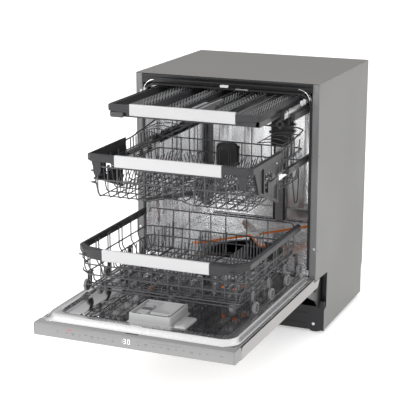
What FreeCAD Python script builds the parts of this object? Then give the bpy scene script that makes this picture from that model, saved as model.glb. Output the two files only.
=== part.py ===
"""Built-in dishwasher, 600 mm class, door open and three racks drawn out.

X runs to the right, Y from the front to the back, Z up, in millimetres. Z = 0 is the floor under
the levelling feet. The pieces are drawn with Y = 0 on the front plane of the cabinet's posts, and
save() moves them so that the origin is the middle of the floor area under the open machine.
"""
import FreeCAD
import Part
import os

V = FreeCAD.Vector
os.makedirs("parts", exist_ok=True)

# ---- driving dimensions: cabinet ----
WIDTH = 598.0
HEIGHT = 815.0
DEPTH = 520.0
FOOT_GAP = 14.0
SHEET = 1.0
POST_WIDTH = 20.0
POST_FOOT = 206.0
TOE_RECESS = 98.0
HINGE_NOTCH_DEPTH = 122.0
HINGE_NOTCH_TOP = 201.0
TUB_HALF = 274.0
TUB_TOP = 801.0
MOUTH_TOP = 783.0
TUB_RADIUS = 45.0
TUB_BACK = 512.0
RUNWAY = 238.0
TUB_FLOOR = 220.0
SUMP_X, SUMP_Y, SUMP_R = 0.0, 165.0, 110.0
HUB_Y = 255.0
PANEL_FIXINGS = ((12, 595), (12, 300))
LID_FIXING_X, LID_FIXING_Y = 250.0, 25.0
SEAL_HALF = 277.5
SEAL_WIDTH = 7.0
FOOT_PLACES = ((-262, 131), (262, 131), (-262, 470), (262, 470))
BASE_FRONT, BASE_BACK = 112.0, 508.0
BASE_SIDE_FRONT = 128.0
TOE_Y = 104.0
TOE_SCREW_X, TOE_SCREW_Z = 262.0, 30.0
TOE_LOW, TOE_TOP = 8.0, 108.0

# ---- driving dimensions: water system ----
WELL_DEPTH = 62.0
FILTER_Y = SUMP_Y - 45.0
FILTER_R = 39.0
FILTER_LOW = 168.0
FILTER_PLATE_Z = 209.0
WASH_PUMP_Y, WASH_PUMP_Z = 446.0, 92.0
DRAIN_PUMP_Y, DRAIN_PUMP_Z = 330.0, 70.0
INLET_X, INLET_Z, INLET_R = 190.0, 70.0, 13.2
DUCT_X0, DUCT_X1, DUCT_THICK = -19.0, 24.0, 12.0
DUCT_ROOF_Z = 799.0
PORT_X, PORT_HALF, PORT_DEPTH = 7.0, 32.0, 12.0
PORT_LOW, PORT_TOP, PORT_HOLE_Z, PORT_HOLE_R = 507.0, 625.0, 583.0, 8.0
ARM_WIDTH = 30.0
ARM_ANGLE, ARM_SPREAD = 50.0, 72.0
LOWER_ARM_Z = 252.5
MIDDLE_ARM_Z, MIDDLE_ARM_Y = 498.0, -190.0
CEILING_ARM_Z = 779.0

# ---- driving dimensions: door ----
DOOR_TIP = -672.0
DOOR_REAR = 46.0
DOOR_LOW = 178.0
DOOR_FLANGE = 218.5
STRIP_DEPTH = 48.0
RIM_HALF = 281.0
RIM_FRONT = -634.0
RIM_REAR = -6.0
RIM_BAND = 32.0
RIM_TOP = 234.6
LINER_FLOOR = 225.0
PIVOT_Y = -39.0
PIVOT_Z = 176.0
BRACKET_X = 277.0
DOOR_SHEET = 0.8
HINGE_PIN_DROP = 5.0
HINGE_PIN_R = 4.0
DISPENSER_TOP = 255.0
DISPENSER_X0, DISPENSER_X1 = -47.0, 80.0
DISPENSER_Y0, DISPENSER_Y1 = -592.0, -467.0
LID_HINGE_Y = -486.0
RINSE_X, RINSE_Y, RINSE_WELL_R = -16.0, -510.0, 13.0

# ---- driving dimensions: racks ----
WIRE = 4.0
BAR_HALF = 162.5
BAR_HEIGHT = 34.0
BAR_DEPTH = 10.0
LOW_HALF = 248.0
LOW_FRONT = -475.0
LOW_BACK = -38.5
LOW_FLOOR = 276.0
LOW_RIM_TOP = 395.5
LOW_BAR_Y = -520.0
LOW_BAR_Z = 365.5
LOW_RIM_LOW = 374.0
LOW_LEVELS = (276, 307, 337)
LOW_WALL_TOP = 373.4
LOW_WIRES_X, LOW_WIRES_Y = 13, 10
TINE_COUNT = 15
TINE_X, TINE_ROD_Z, TINE_HEIGHT = 150.0, 282.0, 84.0
FIXED_TINE_X, FIXED_ROD_Z, FIXED_TINE_HEIGHT = 30.0, 280.4, 70.0
WHEEL_R = 17.0
WHEEL_Z = 255.6
WHEEL_X = 262.0
WHEEL_WIDTH = 10.0
WHEEL_YS = (-423.0, -297.0, -160.0, -50.0)
MID_HALF = 240.0
MID_FRONT = -419.5
MID_BACK = 30.0
MID_FLOOR = 524.0
MID_TOP = 646.0
MID_BAR_Y = -433.0
MID_BAR_Z = 617.0
MID_RAIL_Z = 587.0
MID_LEVELS = (524, 574, 612)
MID_FRAME_LOW, MID_FRAME_TOP = 630.0, 651.0
MID_FRAME_REAR = -190.0
MID_INNER_FRONT, MID_INNER_REAR = -222.0, 60.0
MID_INNER_LOW, MID_INNER_TOP = 569.0, 589.0
MID_FLOOR_WIRES_X, MID_FLOOR_WIRES_Y = 13, 10
MID_WALL_WIRES_X, MID_WALL_WIRES_Y = 11, 9
CUP_SHELF_Z = 655.0
CUP_SHELF_FRONT = -140.0
CUP_SHELF_REACH = 78.0
TOP_HALF = 231.0
TOP_FRONT = -317.0
TOP_BACK = 112.0
TOP_FLOOR = 738.0
TOP_RIM = 776.0
TOP_BAR_Y = -331.0
TOP_BAR_Z = 745.5
TOP_RAIL_Z = 736.0
TOP_FRAME_LOW = 757.0
DIVIDERS = (-120.0, -20.0, 20.0, 120.0)
TOP_INNER_FRONT, TOP_INNER_REAR = -198.0, 100.0
TOP_INNER_LOW, TOP_INNER_TOP = 736.0, 764.0
MID_TRAVEL = 446.0
TOP_TRAVEL = 352.0
RAIL_LENGTH = 430.0
RAIL_REAR = 480.0
RAIL_X0, RAIL_X1, RAIL_HEIGHT = 262.0, 272.0, 26.0
SLIDER_X0, SLIDER_X1, SLIDER_HEIGHT = 256.0, 267.0, 17.0
RAIL_LIP = 3.0
INNER_RAIL_X1 = 255.0

# ---- the frame's origin: halfway between the door's tip and the cabinet's rear ----
ORIGIN_SHIFT = -(DOOR_TIP + DEPTH) / 2


# ---- helpers ----
def box(x0, x1, y0, y1, z0, z1):
    """Axis-aligned box from its limits."""
    return Part.makeBox(x1 - x0, y1 - y0, z1 - z0, V(x0, y0, z0))


def cyl(r, length, at, axis=(0, 0, 1)):
    """Solid cylinder from a point along an axis."""
    return Part.makeCylinder(r, length, V(*at), V(*axis))


def tube(r_out, r_in, length, at, axis=(0, 0, 1)):
    """Hollow cylinder."""
    return cyl(r_out, length, at, axis).cut(cyl(r_in, length, at, axis))


def prism_yz(points, x0, x1):
    """Outline in the YZ plane, drawn out along X."""
    wire = Part.makePolygon([V(x0, y, z) for y, z in points + points[:1]])
    return Part.Face(wire).extrude(V(x1 - x0, 0, 0))


def prism_xy(points, z0, z1):
    """Outline in the XY plane, drawn out along Z."""
    wire = Part.makePolygon([V(x, y, z0) for x, y in points + points[:1]])
    return Part.Face(wire).extrude(V(0, 0, z1 - z0))


def fuse(solids):
    """Join touching solids into one and tidy its faces."""
    solids = list(solids)
    if len(solids) == 1:
        return solids[0]
    return solids[0].multiFuse(solids[1:]).removeSplitter()


def mirrored(shape):
    """The left-hand copy of a right-hand piece."""
    return shape.mirror(V(0, 0, 0), V(1, 0, 0))


def both(shape):
    """A right-hand piece with its left-hand copy."""
    return [shape, mirrored(shape)]


def span(first, last, count):
    """Evenly spaced values, both ends included."""
    step = (last - first) / (count - 1)
    return [first + step * i for i in range(count)]


def round_edges_along_y(shape, radius, picks):
    """Round the edges that run along Y and pass a test on x and z."""
    edges = []
    for edge in shape.Edges:
        a, b = edge.Vertexes[0].Point, edge.Vertexes[-1].Point
        if abs(a.x - b.x) < 0.01 and abs(a.z - b.z) < 0.01 and picks(a.x, a.z):
            edges.append(edge)
    return shape.makeFillet(radius, edges)


def round_upright_edges(shape, radius, picks):
    """Round the edges that run along Z and pass a test on x and y."""
    edges = []
    for edge in shape.Edges:
        a, b = edge.Vertexes[0].Point, edge.Vertexes[-1].Point
        if abs(a.x - b.x) < 0.01 and abs(a.y - b.y) < 0.01 and picks(a.x, a.y):
            edges.append(edge)
    return shape.makeFillet(radius, edges)


def save(node, shapes):
    """Write one node's solids as a STEP file."""
    shapes = shapes if isinstance(shapes, list) else [shapes]
    shape = shapes[0] if len(shapes) == 1 else Part.makeCompound(shapes)
    shape = shape.copy()
    shape.translate(V(0, ORIGIN_SHIFT, 0))
    shape.exportStep("parts/%s.step" % node)
    print(node, len(shape.Solids), "solids", round(shape.Volume / 1000, 1), "cm3", shape.isValid())


# ---- cabinet shell ----
def side_panel():
    """Right side panel: plain sheet with a toe recess, a hinge notch and a rear notch."""
    x0 = WIDTH / 2 - SHEET
    outline = [
        (0, HEIGHT - 1.5),
        (DEPTH, HEIGHT - 1.5),
        (DEPTH, 122),
        (DEPTH - 10, 98),
        (DEPTH - 10, FOOT_GAP),
        (TOE_RECESS, FOOT_GAP),
        (TOE_RECESS, 80),
        (HINGE_NOTCH_DEPTH - 4, 88),
        (HINGE_NOTCH_DEPTH, HINGE_NOTCH_TOP),
        (6, POST_FOOT),
        (0, POST_FOOT),
    ]
    panel = prism_yz(outline, x0, WIDTH / 2)
    for y, z in PANEL_FIXINGS:
        panel = panel.cut(cyl(2.5, 10, (x0 - 4, y, z), (1, 0, 0)))
    return panel


def top_panel():
    """Flat lid with a short front lip, and two fixing holes near the front."""
    half = WIDTH / 2
    lid = box(-half, half, 0, DEPTH, HEIGHT - SHEET, HEIGHT)
    for x in (-LID_FIXING_X, LID_FIXING_X):
        lid = lid.cut(cyl(3, 4, (x, LID_FIXING_Y, HEIGHT - 3)))
    return lid


def front_post():
    """Right front post: folded angle between the side panel and the tub mouth."""
    outer = WIDTH / 2 - SHEET - 0.2
    inner = WIDTH / 2 - POST_WIDTH - SHEET
    top = HEIGHT - 2.0
    return fuse([
        box(inner, outer, 0, 1.5, POST_FOOT, top),
        box(inner, inner + 1.2, 0, 24, POST_FOOT, top),
    ])


def top_front_bar():
    """Black cross bar over the tub mouth, with the ridge along it and the striker's seat."""
    half = WIDTH / 2 - POST_WIDTH - SHEET - 0.4
    low = MOUTH_TOP + 3.0
    outline = [
        (-2, low),
        (1.6, low),
        (1.6, HEIGHT - 2),
        (-2, HEIGHT - 2),
        (-2, low + 18),
        (-6, low + 16),
        (-6, low + 11),
        (-2, low + 9),
    ]
    return prism_yz(outline, -half, half)


def door_striker():
    """Latch striker plate standing down from the cross bar into the tub mouth."""
    plate = box(-14, 14, -12, -2.2, MOUTH_TOP + 3.2, MOUTH_TOP + 11.6)
    return plate.cut(box(-9, 9, -10, -5, MOUTH_TOP + 2, MOUTH_TOP + 12))


def tub_wrap():
    """Sides and roof of the steel tub, one bent sheet open at the bottom and both ends."""
    y0, y1 = 2.0, TUB_BACK - 0.3
    low = RUNWAY + 0.2
    outer = box(-TUB_HALF - SHEET, TUB_HALF + SHEET, y0, y1, low, TUB_TOP + SHEET)
    outer = round_edges_along_y(outer, TUB_RADIUS + SHEET, lambda x, z: z > TUB_TOP)
    inner = box(-TUB_HALF, TUB_HALF, y0 - 1, y1 + 1, low - 10, TUB_TOP)
    inner = round_edges_along_y(inner, TUB_RADIUS, lambda x, z: z > TUB_TOP - 1)
    return outer.cut(inner)


def tub_back():
    """Rear wall of the tub."""
    wall = box(-TUB_HALF - SHEET, TUB_HALF + SHEET, TUB_BACK, TUB_BACK + 1.2, 205, TUB_TOP + SHEET)
    return round_edges_along_y(wall, TUB_RADIUS, lambda x, z: z > TUB_TOP)


def tub_floor():
    """Floor pan: two raised runways, a sunken middle and the round sump mouth."""
    pan = box(-TUB_HALF - SHEET, TUB_HALF + SHEET, 2, TUB_BACK - 0.3, TUB_FLOOR - 2, RUNWAY)
    ledge = TUB_HALF - 38
    pan = pan.cut(box(-ledge, ledge, 30, TUB_BACK - 16, TUB_FLOOR, RUNWAY + 1))
    for hollow in both(box(ledge + 2, TUB_HALF - 1, 4, TUB_BACK - 3, TUB_FLOOR - 3, RUNWAY - 2)):
        pan = pan.cut(hollow)
    pan = pan.cut(box(-ledge, ledge, 4, 28, TUB_FLOOR - 3, RUNWAY - 2))
    return pan.cut(cyl(SUMP_R, 30, (SUMP_X, SUMP_Y, TUB_FLOOR - 10)))


def door_gasket():
    """Rubber seal round the tub mouth: up one side, over the top and down the other."""
    y0, y1 = -4.0, 1.6
    outer = box(-SEAL_HALF, SEAL_HALF, y0, y1, RUNWAY + 2, MOUTH_TOP + 2.6)
    outer = round_edges_along_y(outer, TUB_RADIUS, lambda x, z: z > MOUTH_TOP)
    half = SEAL_HALF - SEAL_WIDTH
    inner = box(-half, half, y0 - 1, y1 + 1, RUNWAY - 8, MOUTH_TOP - 3.6)
    inner = round_edges_along_y(inner, TUB_RADIUS - SEAL_WIDTH, lambda x, z: z > MOUTH_TOP - 10)
    return outer.cut(inner)


# ---- base ----
def base_pan():
    """Black base: floor tray, rear wall and two side walls that carry the tub."""
    half = WIDTH / 2 - SHEET - 0.4
    floor = box(-half, half, BASE_FRONT, BASE_BACK, FOOT_GAP, FOOT_GAP + 4)
    rear = box(-half, half, BASE_BACK - 4, BASE_BACK, FOOT_GAP, 204)
    side = box(half - 5, half, BASE_SIDE_FRONT, BASE_BACK, FOOT_GAP, 200)
    front_post_foot = box(half - 16, half, BASE_SIDE_FRONT, BASE_SIDE_FRONT + 24, FOOT_GAP, 203)
    rear_post_foot = box(half - 16, half, BASE_BACK - 16, BASE_BACK - 4, FOOT_GAP, 203)
    pan = fuse([floor, rear] + both(side) + both(front_post_foot) + both(rear_post_foot))
    for x, y in FOOT_PLACES:
        pan = pan.cut(cyl(5.2, 20, (x, y, FOOT_GAP - 5)))
    return pan.cut(cyl(INLET_R + 3.8, 10, (INLET_X, BASE_BACK - 7, INLET_Z), (0, 1, 0)))


def toe_plate():
    """Upright black plate behind the toe recess, with two screws' holes."""
    half = WIDTH / 2 - SHEET - 0.6
    plate = box(-half, half, TOE_Y, TOE_Y + 3, TOE_LOW, TOE_TOP)
    foot = box(-half, half, TOE_Y, TOE_Y + 7.4, TOE_LOW, TOE_LOW + 2)
    plate = fuse([plate, foot])
    for slot in both(box(BRACKET_X - 1, BRACKET_X + 4, TOE_Y - 4, TOE_Y + 6, 72, TOE_TOP + 2)):
        plate = plate.cut(slot)
    for x in (-TOE_SCREW_X, TOE_SCREW_X):
        plate = plate.cut(cyl(2.6, 10, (x, TOE_Y - 4, TOE_SCREW_Z), (0, 1, 0)))
    return plate


def levelling_feet():
    """Four screw-in feet: a threaded stem and a ribbed disc."""
    feet = []
    for x, y in FOOT_PLACES:
        feet.append(fuse([cyl(5, 44, (x, y, 6)), cyl(19, 8, (x, y, 0)), cyl(9, 5, (x, y, 8))]))
    return feet


def hinge_brackets():
    """Steel hinge plates bolted to the base, one each side, reaching forward to the pivot."""
    outline = [
        (PIVOT_Y - 12, PIVOT_Z - 12),
        (PIVOT_Y + 12, PIVOT_Z - 14),
        (60, 120),
        (127, 60),
        (190, 60),
        (190, 190),
        (127, 190),
        (60, 150),
        (PIVOT_Y + 12, PIVOT_Z + 1.5),
        (PIVOT_Y - 12, PIVOT_Z + 1.5),
    ]
    plate = prism_yz(outline, BRACKET_X, BRACKET_X + 3)
    pin_z = PIVOT_Z - HINGE_PIN_DROP
    plate = plate.cut(cyl(HINGE_PIN_R + 0.06, 10, (BRACKET_X - 4, PIVOT_Y, pin_z), (1, 0, 0)))
    return both(plate)


def door_springs():
    """Tension springs that balance the door, lying along the base inside the side walls."""
    coil = tube(9, 6.5, 150, (270, 200, 120), (0, 1, 0))
    return both(coil)


# ---- water system in the base ----
def sump():
    """Moulded sump well under the floor, with the upright feed to the lower spray arm."""
    top = TUB_FLOOR - 2.4
    well = tube(SUMP_R + 6, SUMP_R - 4, 5, (SUMP_X, SUMP_Y, top - 5))
    wall = tube(SUMP_R - 1, SUMP_R - 4, WELL_DEPTH, (SUMP_X, SUMP_Y, top - WELL_DEPTH))
    floor = cyl(SUMP_R - 1, 3, (SUMP_X, SUMP_Y, top - WELL_DEPTH))
    feed = cyl(14, 95, (0, HUB_Y, top - WELL_DEPTH))
    return fuse([well, wall, floor, feed])


def filter_plate():
    """Flat filter that closes the sump, with holes for the twist filter and the feed."""
    plate = cyl(SUMP_R - 5, 2, (SUMP_X, SUMP_Y, FILTER_PLATE_Z))
    plate = plate.cut(cyl(FILTER_R + 2, 10, (SUMP_X, FILTER_Y, FILTER_PLATE_Z - 4)))
    return plate.cut(cyl(16, 10, (0, HUB_Y, FILTER_PLATE_Z - 4)))


def filter_cylinder():
    """Twist-out cylindrical filter with its cross grip."""
    height = 52
    top = FILTER_LOW + height
    body = tube(FILTER_R, FILTER_R - 2, height, (SUMP_X, FILTER_Y, FILTER_LOW))
    rim = tube(FILTER_R + 1, FILTER_R - 5, 3, (SUMP_X, FILTER_Y, top - 3))
    floor = cyl(FILTER_R, 2, (SUMP_X, FILTER_Y, FILTER_LOW))
    grip = box(SUMP_X - 36, SUMP_X + 36, FILTER_Y - 3, FILTER_Y + 3, top - 14, top + 6)
    return fuse([body, rim, floor, grip])


def wash_pump():
    """Circulation pump motor lying behind the sump well."""
    motor_x, motor_length = -130, 92
    motor = cyl(46, motor_length, (motor_x, WASH_PUMP_Y, WASH_PUMP_Z), (1, 0, 0))
    volute = cyl(32, 24, (motor_x + motor_length, WASH_PUMP_Y, WASH_PUMP_Z), (1, 0, 0))
    return fuse([motor, volute])


def drain_pump():
    """Small drain pump on the right of the base."""
    volute_x, volute_length = 130, 20
    body = cyl(28, 60, (volute_x + volute_length, DRAIN_PUMP_Y, DRAIN_PUMP_Z), (1, 0, 0))
    volute = cyl(34, volute_length, (volute_x, DRAIN_PUMP_Y, DRAIN_PUMP_Z), (1, 0, 0))
    return fuse([body, volute])


def inlet_valve():
    """Water inlet: a valve block behind the rear wall with its male connection stub."""
    stub = cyl(INLET_R, 23.8, (INLET_X, DEPTH - 24, INLET_Z), (0, 1, 0))
    block = box(INLET_X - 18, INLET_X + 18, DEPTH - 80, DEPTH - 20, INLET_Z - 22, INLET_Z + 22)
    return fuse([stub, block])


def feed_duct():
    """Water duct up the rear wall and under the roof, with the port that the middle rack docks on."""
    back = TUB_BACK - 4
    front = back - DUCT_THICK
    up = box(DUCT_X0, DUCT_X1, front, back, RUNWAY + 2, DUCT_ROOF_Z)
    top = box(DUCT_X0, DUCT_X1, HUB_Y - 20, back, DUCT_ROOF_Z - 9, DUCT_ROOF_Z)
    spout = cyl(4.6, 8, (0, HUB_Y, CEILING_ARM_Z + 4))
    port_front = front - PORT_DEPTH
    port = box(PORT_X - PORT_HALF, PORT_X + PORT_HALF, port_front, front, PORT_LOW, PORT_TOP)
    port = port.cut(cyl(PORT_HOLE_R, PORT_DEPTH - 1, (PORT_X, port_front - 1, PORT_HOLE_Z), (0, 1, 0)))
    return fuse([up, top, spout, port])


def spray_arm(z0, y, reach, short, hub_r, thick, seat_r):
    """Four-armed spray rotor: two long arms, two short ones and a hub ring."""
    arms = []
    for angle, length in ((0, reach), (180, reach), (ARM_SPREAD, short), (ARM_SPREAD + 180, short)):
        arm = box(0, length, -ARM_WIDTH / 2, ARM_WIDTH / 2, 0, thick)
        arm = arm.fuse(cyl(ARM_WIDTH / 2, thick, (length, 0, 0)))
        arm.rotate(V(0, 0, 0), V(0, 0, 1), ARM_ANGLE + angle)
        arms.append(arm)
    rotor = fuse(arms + [cyl(hub_r, thick + 4, (0, 0, 0))])
    rotor = rotor.cut(cyl(seat_r, 60, (0, 0, -20)))
    rotor.translate(V(0, y, z0))
    return rotor


# ---- rails ----
def fixed_rails(z):
    """Channel rails bolted to the tub's sides, right and left, open towards the rack."""
    half = RAIL_HEIGHT / 2
    rear = RAIL_REAR
    front = RAIL_REAR - RAIL_LENGTH
    channel = box(RAIL_X0, RAIL_X1, front, rear, z - half, z + half)
    lip = half - RAIL_LIP
    groove = box(RAIL_X0 - 1, RAIL_X1 - 2, front - 1, rear + 1, z - lip, z + lip)
    return both(channel.cut(groove))


def sliders(travel, z):
    """Telescopic middle members, drawn half as far out as the rack, open towards it."""
    half = SLIDER_HEIGHT / 2
    rear = RAIL_REAR - travel / 2
    front = rear - RAIL_LENGTH
    member = box(SLIDER_X0, SLIDER_X1, front, rear, z - half, z + half)
    lip = half - RAIL_LIP
    groove = box(SLIDER_X0 - 1, SLIDER_X1 - 5, front - 1, rear + 1, z - lip, z + lip)
    return both(member.cut(groove))


# ---- door ----
def door_outer_panel():
    """Painted outer tray of the door: a flat skin with folded sides and a rear fold."""
    half = WIDTH / 2 - 1.5
    front = DOOR_TIP + STRIP_DEPTH + 0.4
    skin = box(-half, half, front, DOOR_REAR - 16, DOOR_LOW, DOOR_LOW + DOOR_SHEET)
    for x in (-half + 2, half - 14):
        skin = skin.cut(box(x, x + 12, -90, DOOR_REAR, DOOR_LOW - 1, DOOR_LOW + 2))
    side_outline = [
        (front, DOOR_LOW),
        (DOOR_REAR - 16, DOOR_LOW),
        (DOOR_REAR, DOOR_LOW + 18),
        (DOOR_REAR, 202),
        (-6, 202),
        (-6, DOOR_FLANGE - 6),
        (front + 14, DOOR_FLANGE - 6),
        (front, DOOR_FLANGE - 20),
    ]
    sides = [prism_yz(side_outline, x, x + DOOR_SHEET) for x in (-half, half - DOOR_SHEET)]
    panel = fuse([skin] + sides)
    for x in (-200, 200):
        for y in (-560, -120):
            panel = panel.cut(cyl(2.1, 6, (x, y, DOOR_LOW - 2)))
    return panel


def door_liner():
    """Stainless inner door: flat flange, raised rounded rim and a shallow sunken middle."""
    front = DOOR_TIP + STRIP_DEPTH + 0.4
    half = WIDTH / 2 - 3.2
    t = DOOR_SHEET
    flange = box(-half, half, front, RIM_REAR, DOOR_FLANGE - t, DOOR_FLANGE)
    rim = box(-RIM_HALF, RIM_HALF, RIM_FRONT + 2, RIM_REAR, DOOR_FLANGE - t, RIM_TOP)
    rim = round_upright_edges(rim, 40, lambda x, y: y < RIM_REAR - 10)
    under = box(-RIM_HALF + t, RIM_HALF - t, RIM_FRONT + 2 + t, RIM_REAR + 1, DOOR_FLANGE - 3, RIM_TOP - t)
    under = round_upright_edges(under, 40 - t, lambda x, y: y < RIM_REAR - 10)
    inner_half = RIM_HALF - RIM_BAND
    well = box(-inner_half, inner_half, RIM_FRONT + RIM_BAND, RIM_REAR - 14, LINER_FLOOR, RIM_TOP + 2)
    well = round_upright_edges(well, 30, lambda x, y: y < RIM_REAR - 20)
    pan = box(
        -inner_half - t, inner_half + t, RIM_FRONT + RIM_BAND - t, RIM_REAR - 14 + t,
        LINER_FLOOR - t, RIM_TOP,
    )
    pan = round_upright_edges(pan, 30 + t, lambda x, y: y < RIM_REAR - 20)
    shell = rim.cut(under).fuse(pan).cut(well)
    liner = fuse([flange.cut(under), shell])
    liner = liner.cut(box(
        DISPENSER_X0 - 1, DISPENSER_X1 + 1, DISPENSER_Y0 - 1, DISPENSER_Y1 + 1, LINER_FLOOR - 5, RUNWAY,
    ))
    return liner.cut(box(-15, 15, -660, -620, DOOR_FLANGE - 10, DOOR_FLANGE + 20))


def control_strip():
    """Hollow front strip along the door's upper edge, open towards the liner."""
    half = WIDTH / 2
    rear = DOOR_TIP + STRIP_DEPTH
    low, high = DOOR_LOW + 3.5, DOOR_FLANGE
    strip = box(-half, half, DOOR_TIP, rear, low, high)
    strip = strip.cut(box(-half + 2, half - 2, DOOR_TIP + 2.5, rear + 1, low + 2, high - 2))
    strip = strip.cut(box(-RIM_HALF - 2, RIM_HALF + 2, RIM_FRONT + 1.6, rear + 1, high - 2.1, high + 1))
    return strip.cut(box(-14.6, 14.6, DOOR_TIP + 16, rear + 1, high - 3, high + 1))


def control_board():
    """Circuit board with its display block, just behind the strip's front face."""
    board = box(-230, 230, DOOR_TIP + 12, DOOR_TIP + 13.6, 186, 212)
    block = box(-20, 28, DOOR_TIP + 3.2, DOOR_TIP + 12, 190, 208)
    return fuse([board, block])


def door_latch():
    """Latch housing at the middle of the strip, with its slot for the striker."""
    body = box(-14, 14, DOOR_TIP + 17, DOOR_TIP + STRIP_DEPTH + 2, 190, RUNWAY - 2)
    return body.cut(box(-9, 9, DOOR_TIP + 20, DOOR_TIP + 40, 200, RUNWAY))


def dispenser_body():
    """Detergent dispenser block standing up from the liner, with its cup and rinse-aid well."""
    top = DISPENSER_TOP
    x0, x1, y0, y1 = DISPENSER_X0, DISPENSER_X1, DISPENSER_Y0, DISPENSER_Y1
    body = box(x0, x1, y0, y1, LINER_FLOOR - 20, top)
    body = body.cut(box(14, 70, y0 + 18, LID_HINGE_Y - 6, top - 23, top + 5))
    body = body.cut(box(x0 + 7, 8, y0 + 10, y1 - 11, top - 9, top + 5))
    body = body.cut(cyl(RINSE_WELL_R, 20, (RINSE_X, RINSE_Y, top - 19)))
    left_flange = box(x0 - 7, x0, y0 + 2, y1 + 7, LINER_FLOOR + 1.5, LINER_FLOOR + 4)
    right_flange = box(x1, x1 + 40, y0 + 6, y1 - 33, LINER_FLOOR + 1.5, LINER_FLOOR + 4)
    return fuse([body, left_flange, right_flange])


def dispenser_lid():
    """Flip-up lid over the detergent cup, hinged on its rear edge."""
    x0, x1 = 12.0, 74.0
    lid = box(x0, x1, DISPENSER_Y0 + 14, LID_HINGE_Y - 2, DISPENSER_TOP + 0.5, DISPENSER_TOP + 4.5)
    knuckle = cyl(2.6, x1 - x0, (x0, LID_HINGE_Y, DISPENSER_TOP + 3.2), (1, 0, 0))
    return fuse([lid, knuckle])


def rinse_aid_cap():
    """Round screw cap of the rinse-aid well, with its finger bar."""
    cap = cyl(RINSE_WELL_R - 0.4, 11, (RINSE_X, RINSE_Y, DISPENSER_TOP - 15))
    grip = box(RINSE_X - 10, RINSE_X + 10, RINSE_Y - 2, RINSE_Y + 2, DISPENSER_TOP - 5, DISPENSER_TOP)
    return fuse([cap, grip])


def hinge_arms():
    """Steel arms bolted inside the door's sides, with the pins that turn in the brackets."""
    outline = [
        (-230, DOOR_LOW + 8),
        (-60, DOOR_LOW + 4),
        (PIVOT_Y - 9, PIVOT_Z - 8),
        (PIVOT_Y + 9, PIVOT_Z - 8),
        (PIVOT_Y + 11, DOOR_LOW + 10),
        (20, DOOR_LOW + 14),
        (20, 200),
        (-8, 200),
        (-8, DOOR_FLANGE - 8),
        (-230, DOOR_FLANGE - 8),
    ]
    arm = prism_yz(outline, 290.2, 293.4)
    pin = cyl(HINGE_PIN_R, 16, (BRACKET_X - 2, PIVOT_Y, PIVOT_Z - HINGE_PIN_DROP), (1, 0, 0))
    return both(fuse([arm, pin]))


# ---- racks ----
def grid_x(y, z_lows, x0, x1, uprights, z0, z1):
    """Flat wire wall across the rack: level wires and uprights in one plane."""
    bars = [box(x0, x1, y - WIRE / 2, y + WIRE / 2, z - WIRE / 2, z + WIRE / 2) for z in z_lows]
    bars += [box(x - WIRE / 2, x + WIRE / 2, y - WIRE / 2, y + WIRE / 2, z0, z1) for x in uprights]
    return fuse(bars)


def grid_y(x, z_lows, y0, y1, uprights, z0, z1):
    """Flat wire wall along the rack."""
    bars = [box(x - WIRE / 2, x + WIRE / 2, y0, y1, z - WIRE / 2, z + WIRE / 2) for z in z_lows]
    bars += [box(x - WIRE / 2, x + WIRE / 2, y - WIRE / 2, y + WIRE / 2, z0, z1) for y in uprights]
    return fuse(bars)


def grid_floor(z, x_list, y_list, x0, x1, y0, y1):
    """Flat wire floor."""
    bars = [box(x0, x1, y - WIRE / 2, y + WIRE / 2, z - WIRE / 2, z + WIRE / 2) for y in y_list]
    bars += [box(x - WIRE / 2, x + WIRE / 2, y0, y1, z - WIRE / 2, z + WIRE / 2) for x in x_list]
    return fuse(bars)


def comb_y(x, y0, y1, count, z_base, height):
    """Tine row along the rack: a base rod with tines that stand up from it."""
    rod = box(x - WIRE / 2, x + WIRE / 2, y0, y1, z_base - WIRE / 2, z_base + WIRE / 2)
    tines = []
    for y in span(y0 + 6, y1 - 6, count):
        tines.append(box(x - WIRE / 2, x + WIRE / 2, y - 1.5, y + 1.5, z_base, z_base + height))
    return fuse([rod] + tines)


def basket_walls(half, front, back, levels, low, high, x_count, y_count):
    """Four flat wire walls, each a solid of its own."""
    gap = WIRE / 2 + 1.0
    ends_x = half - gap
    xs = span(-ends_x + WIRE / 2, ends_x - WIRE / 2, x_count)
    ys = span(front, back, y_count)
    walls = [
        grid_x(front, levels, -ends_x, ends_x, xs, low, high),
        grid_x(back, levels, -ends_x, ends_x, xs, low, high),
    ]
    for side in (-1, 1):
        walls.append(grid_y(side * half, levels, front - WIRE / 2, back + WIRE / 2, ys, low, high))
    return walls


def basket_floor(half, front, back, z, x_count, y_count):
    """Flat floor that stops just short of the walls."""
    gap = WIRE / 2 + 1.0
    x0, x1, y0, y1 = -half + gap, half - gap, front + gap, back - gap
    return grid_floor(z, span(x0 + 2, x1 - 2, x_count), span(y0 + 2, y1 - 2, y_count), x0, x1, y0, y1)


def handle_bar(y, z):
    """Bright front bar: a shallow channel, open at the back."""
    bar = box(-BAR_HALF, BAR_HALF, y, y + BAR_DEPTH, z, z + BAR_HEIGHT)
    return bar.cut(box(-BAR_HALF + 2, BAR_HALF - 2, y + 2, y + BAR_DEPTH + 1, z + 2, z + BAR_HEIGHT - 2))


def lower_rim():
    """Dark plastic rim of the lower rack: a side rail and an angled front corner, each side."""
    outline = [
        (LOW_HALF + 1, LOW_BACK),
        (LOW_HALF + 14, LOW_BACK),
        (LOW_HALF + 14, LOW_FRONT + 12),
        (LOW_HALF - 22, LOW_BAR_Y + 12),
        (BAR_HALF + 0.6, LOW_BAR_Y + 1),
        (BAR_HALF + 0.6, LOW_BAR_Y + 12),
        (LOW_HALF - 28, LOW_BAR_Y + 24),
        (LOW_HALF + 1, LOW_FRONT + 14),
    ]
    return both(prism_xy(outline, LOW_RIM_LOW, LOW_RIM_TOP))


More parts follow.
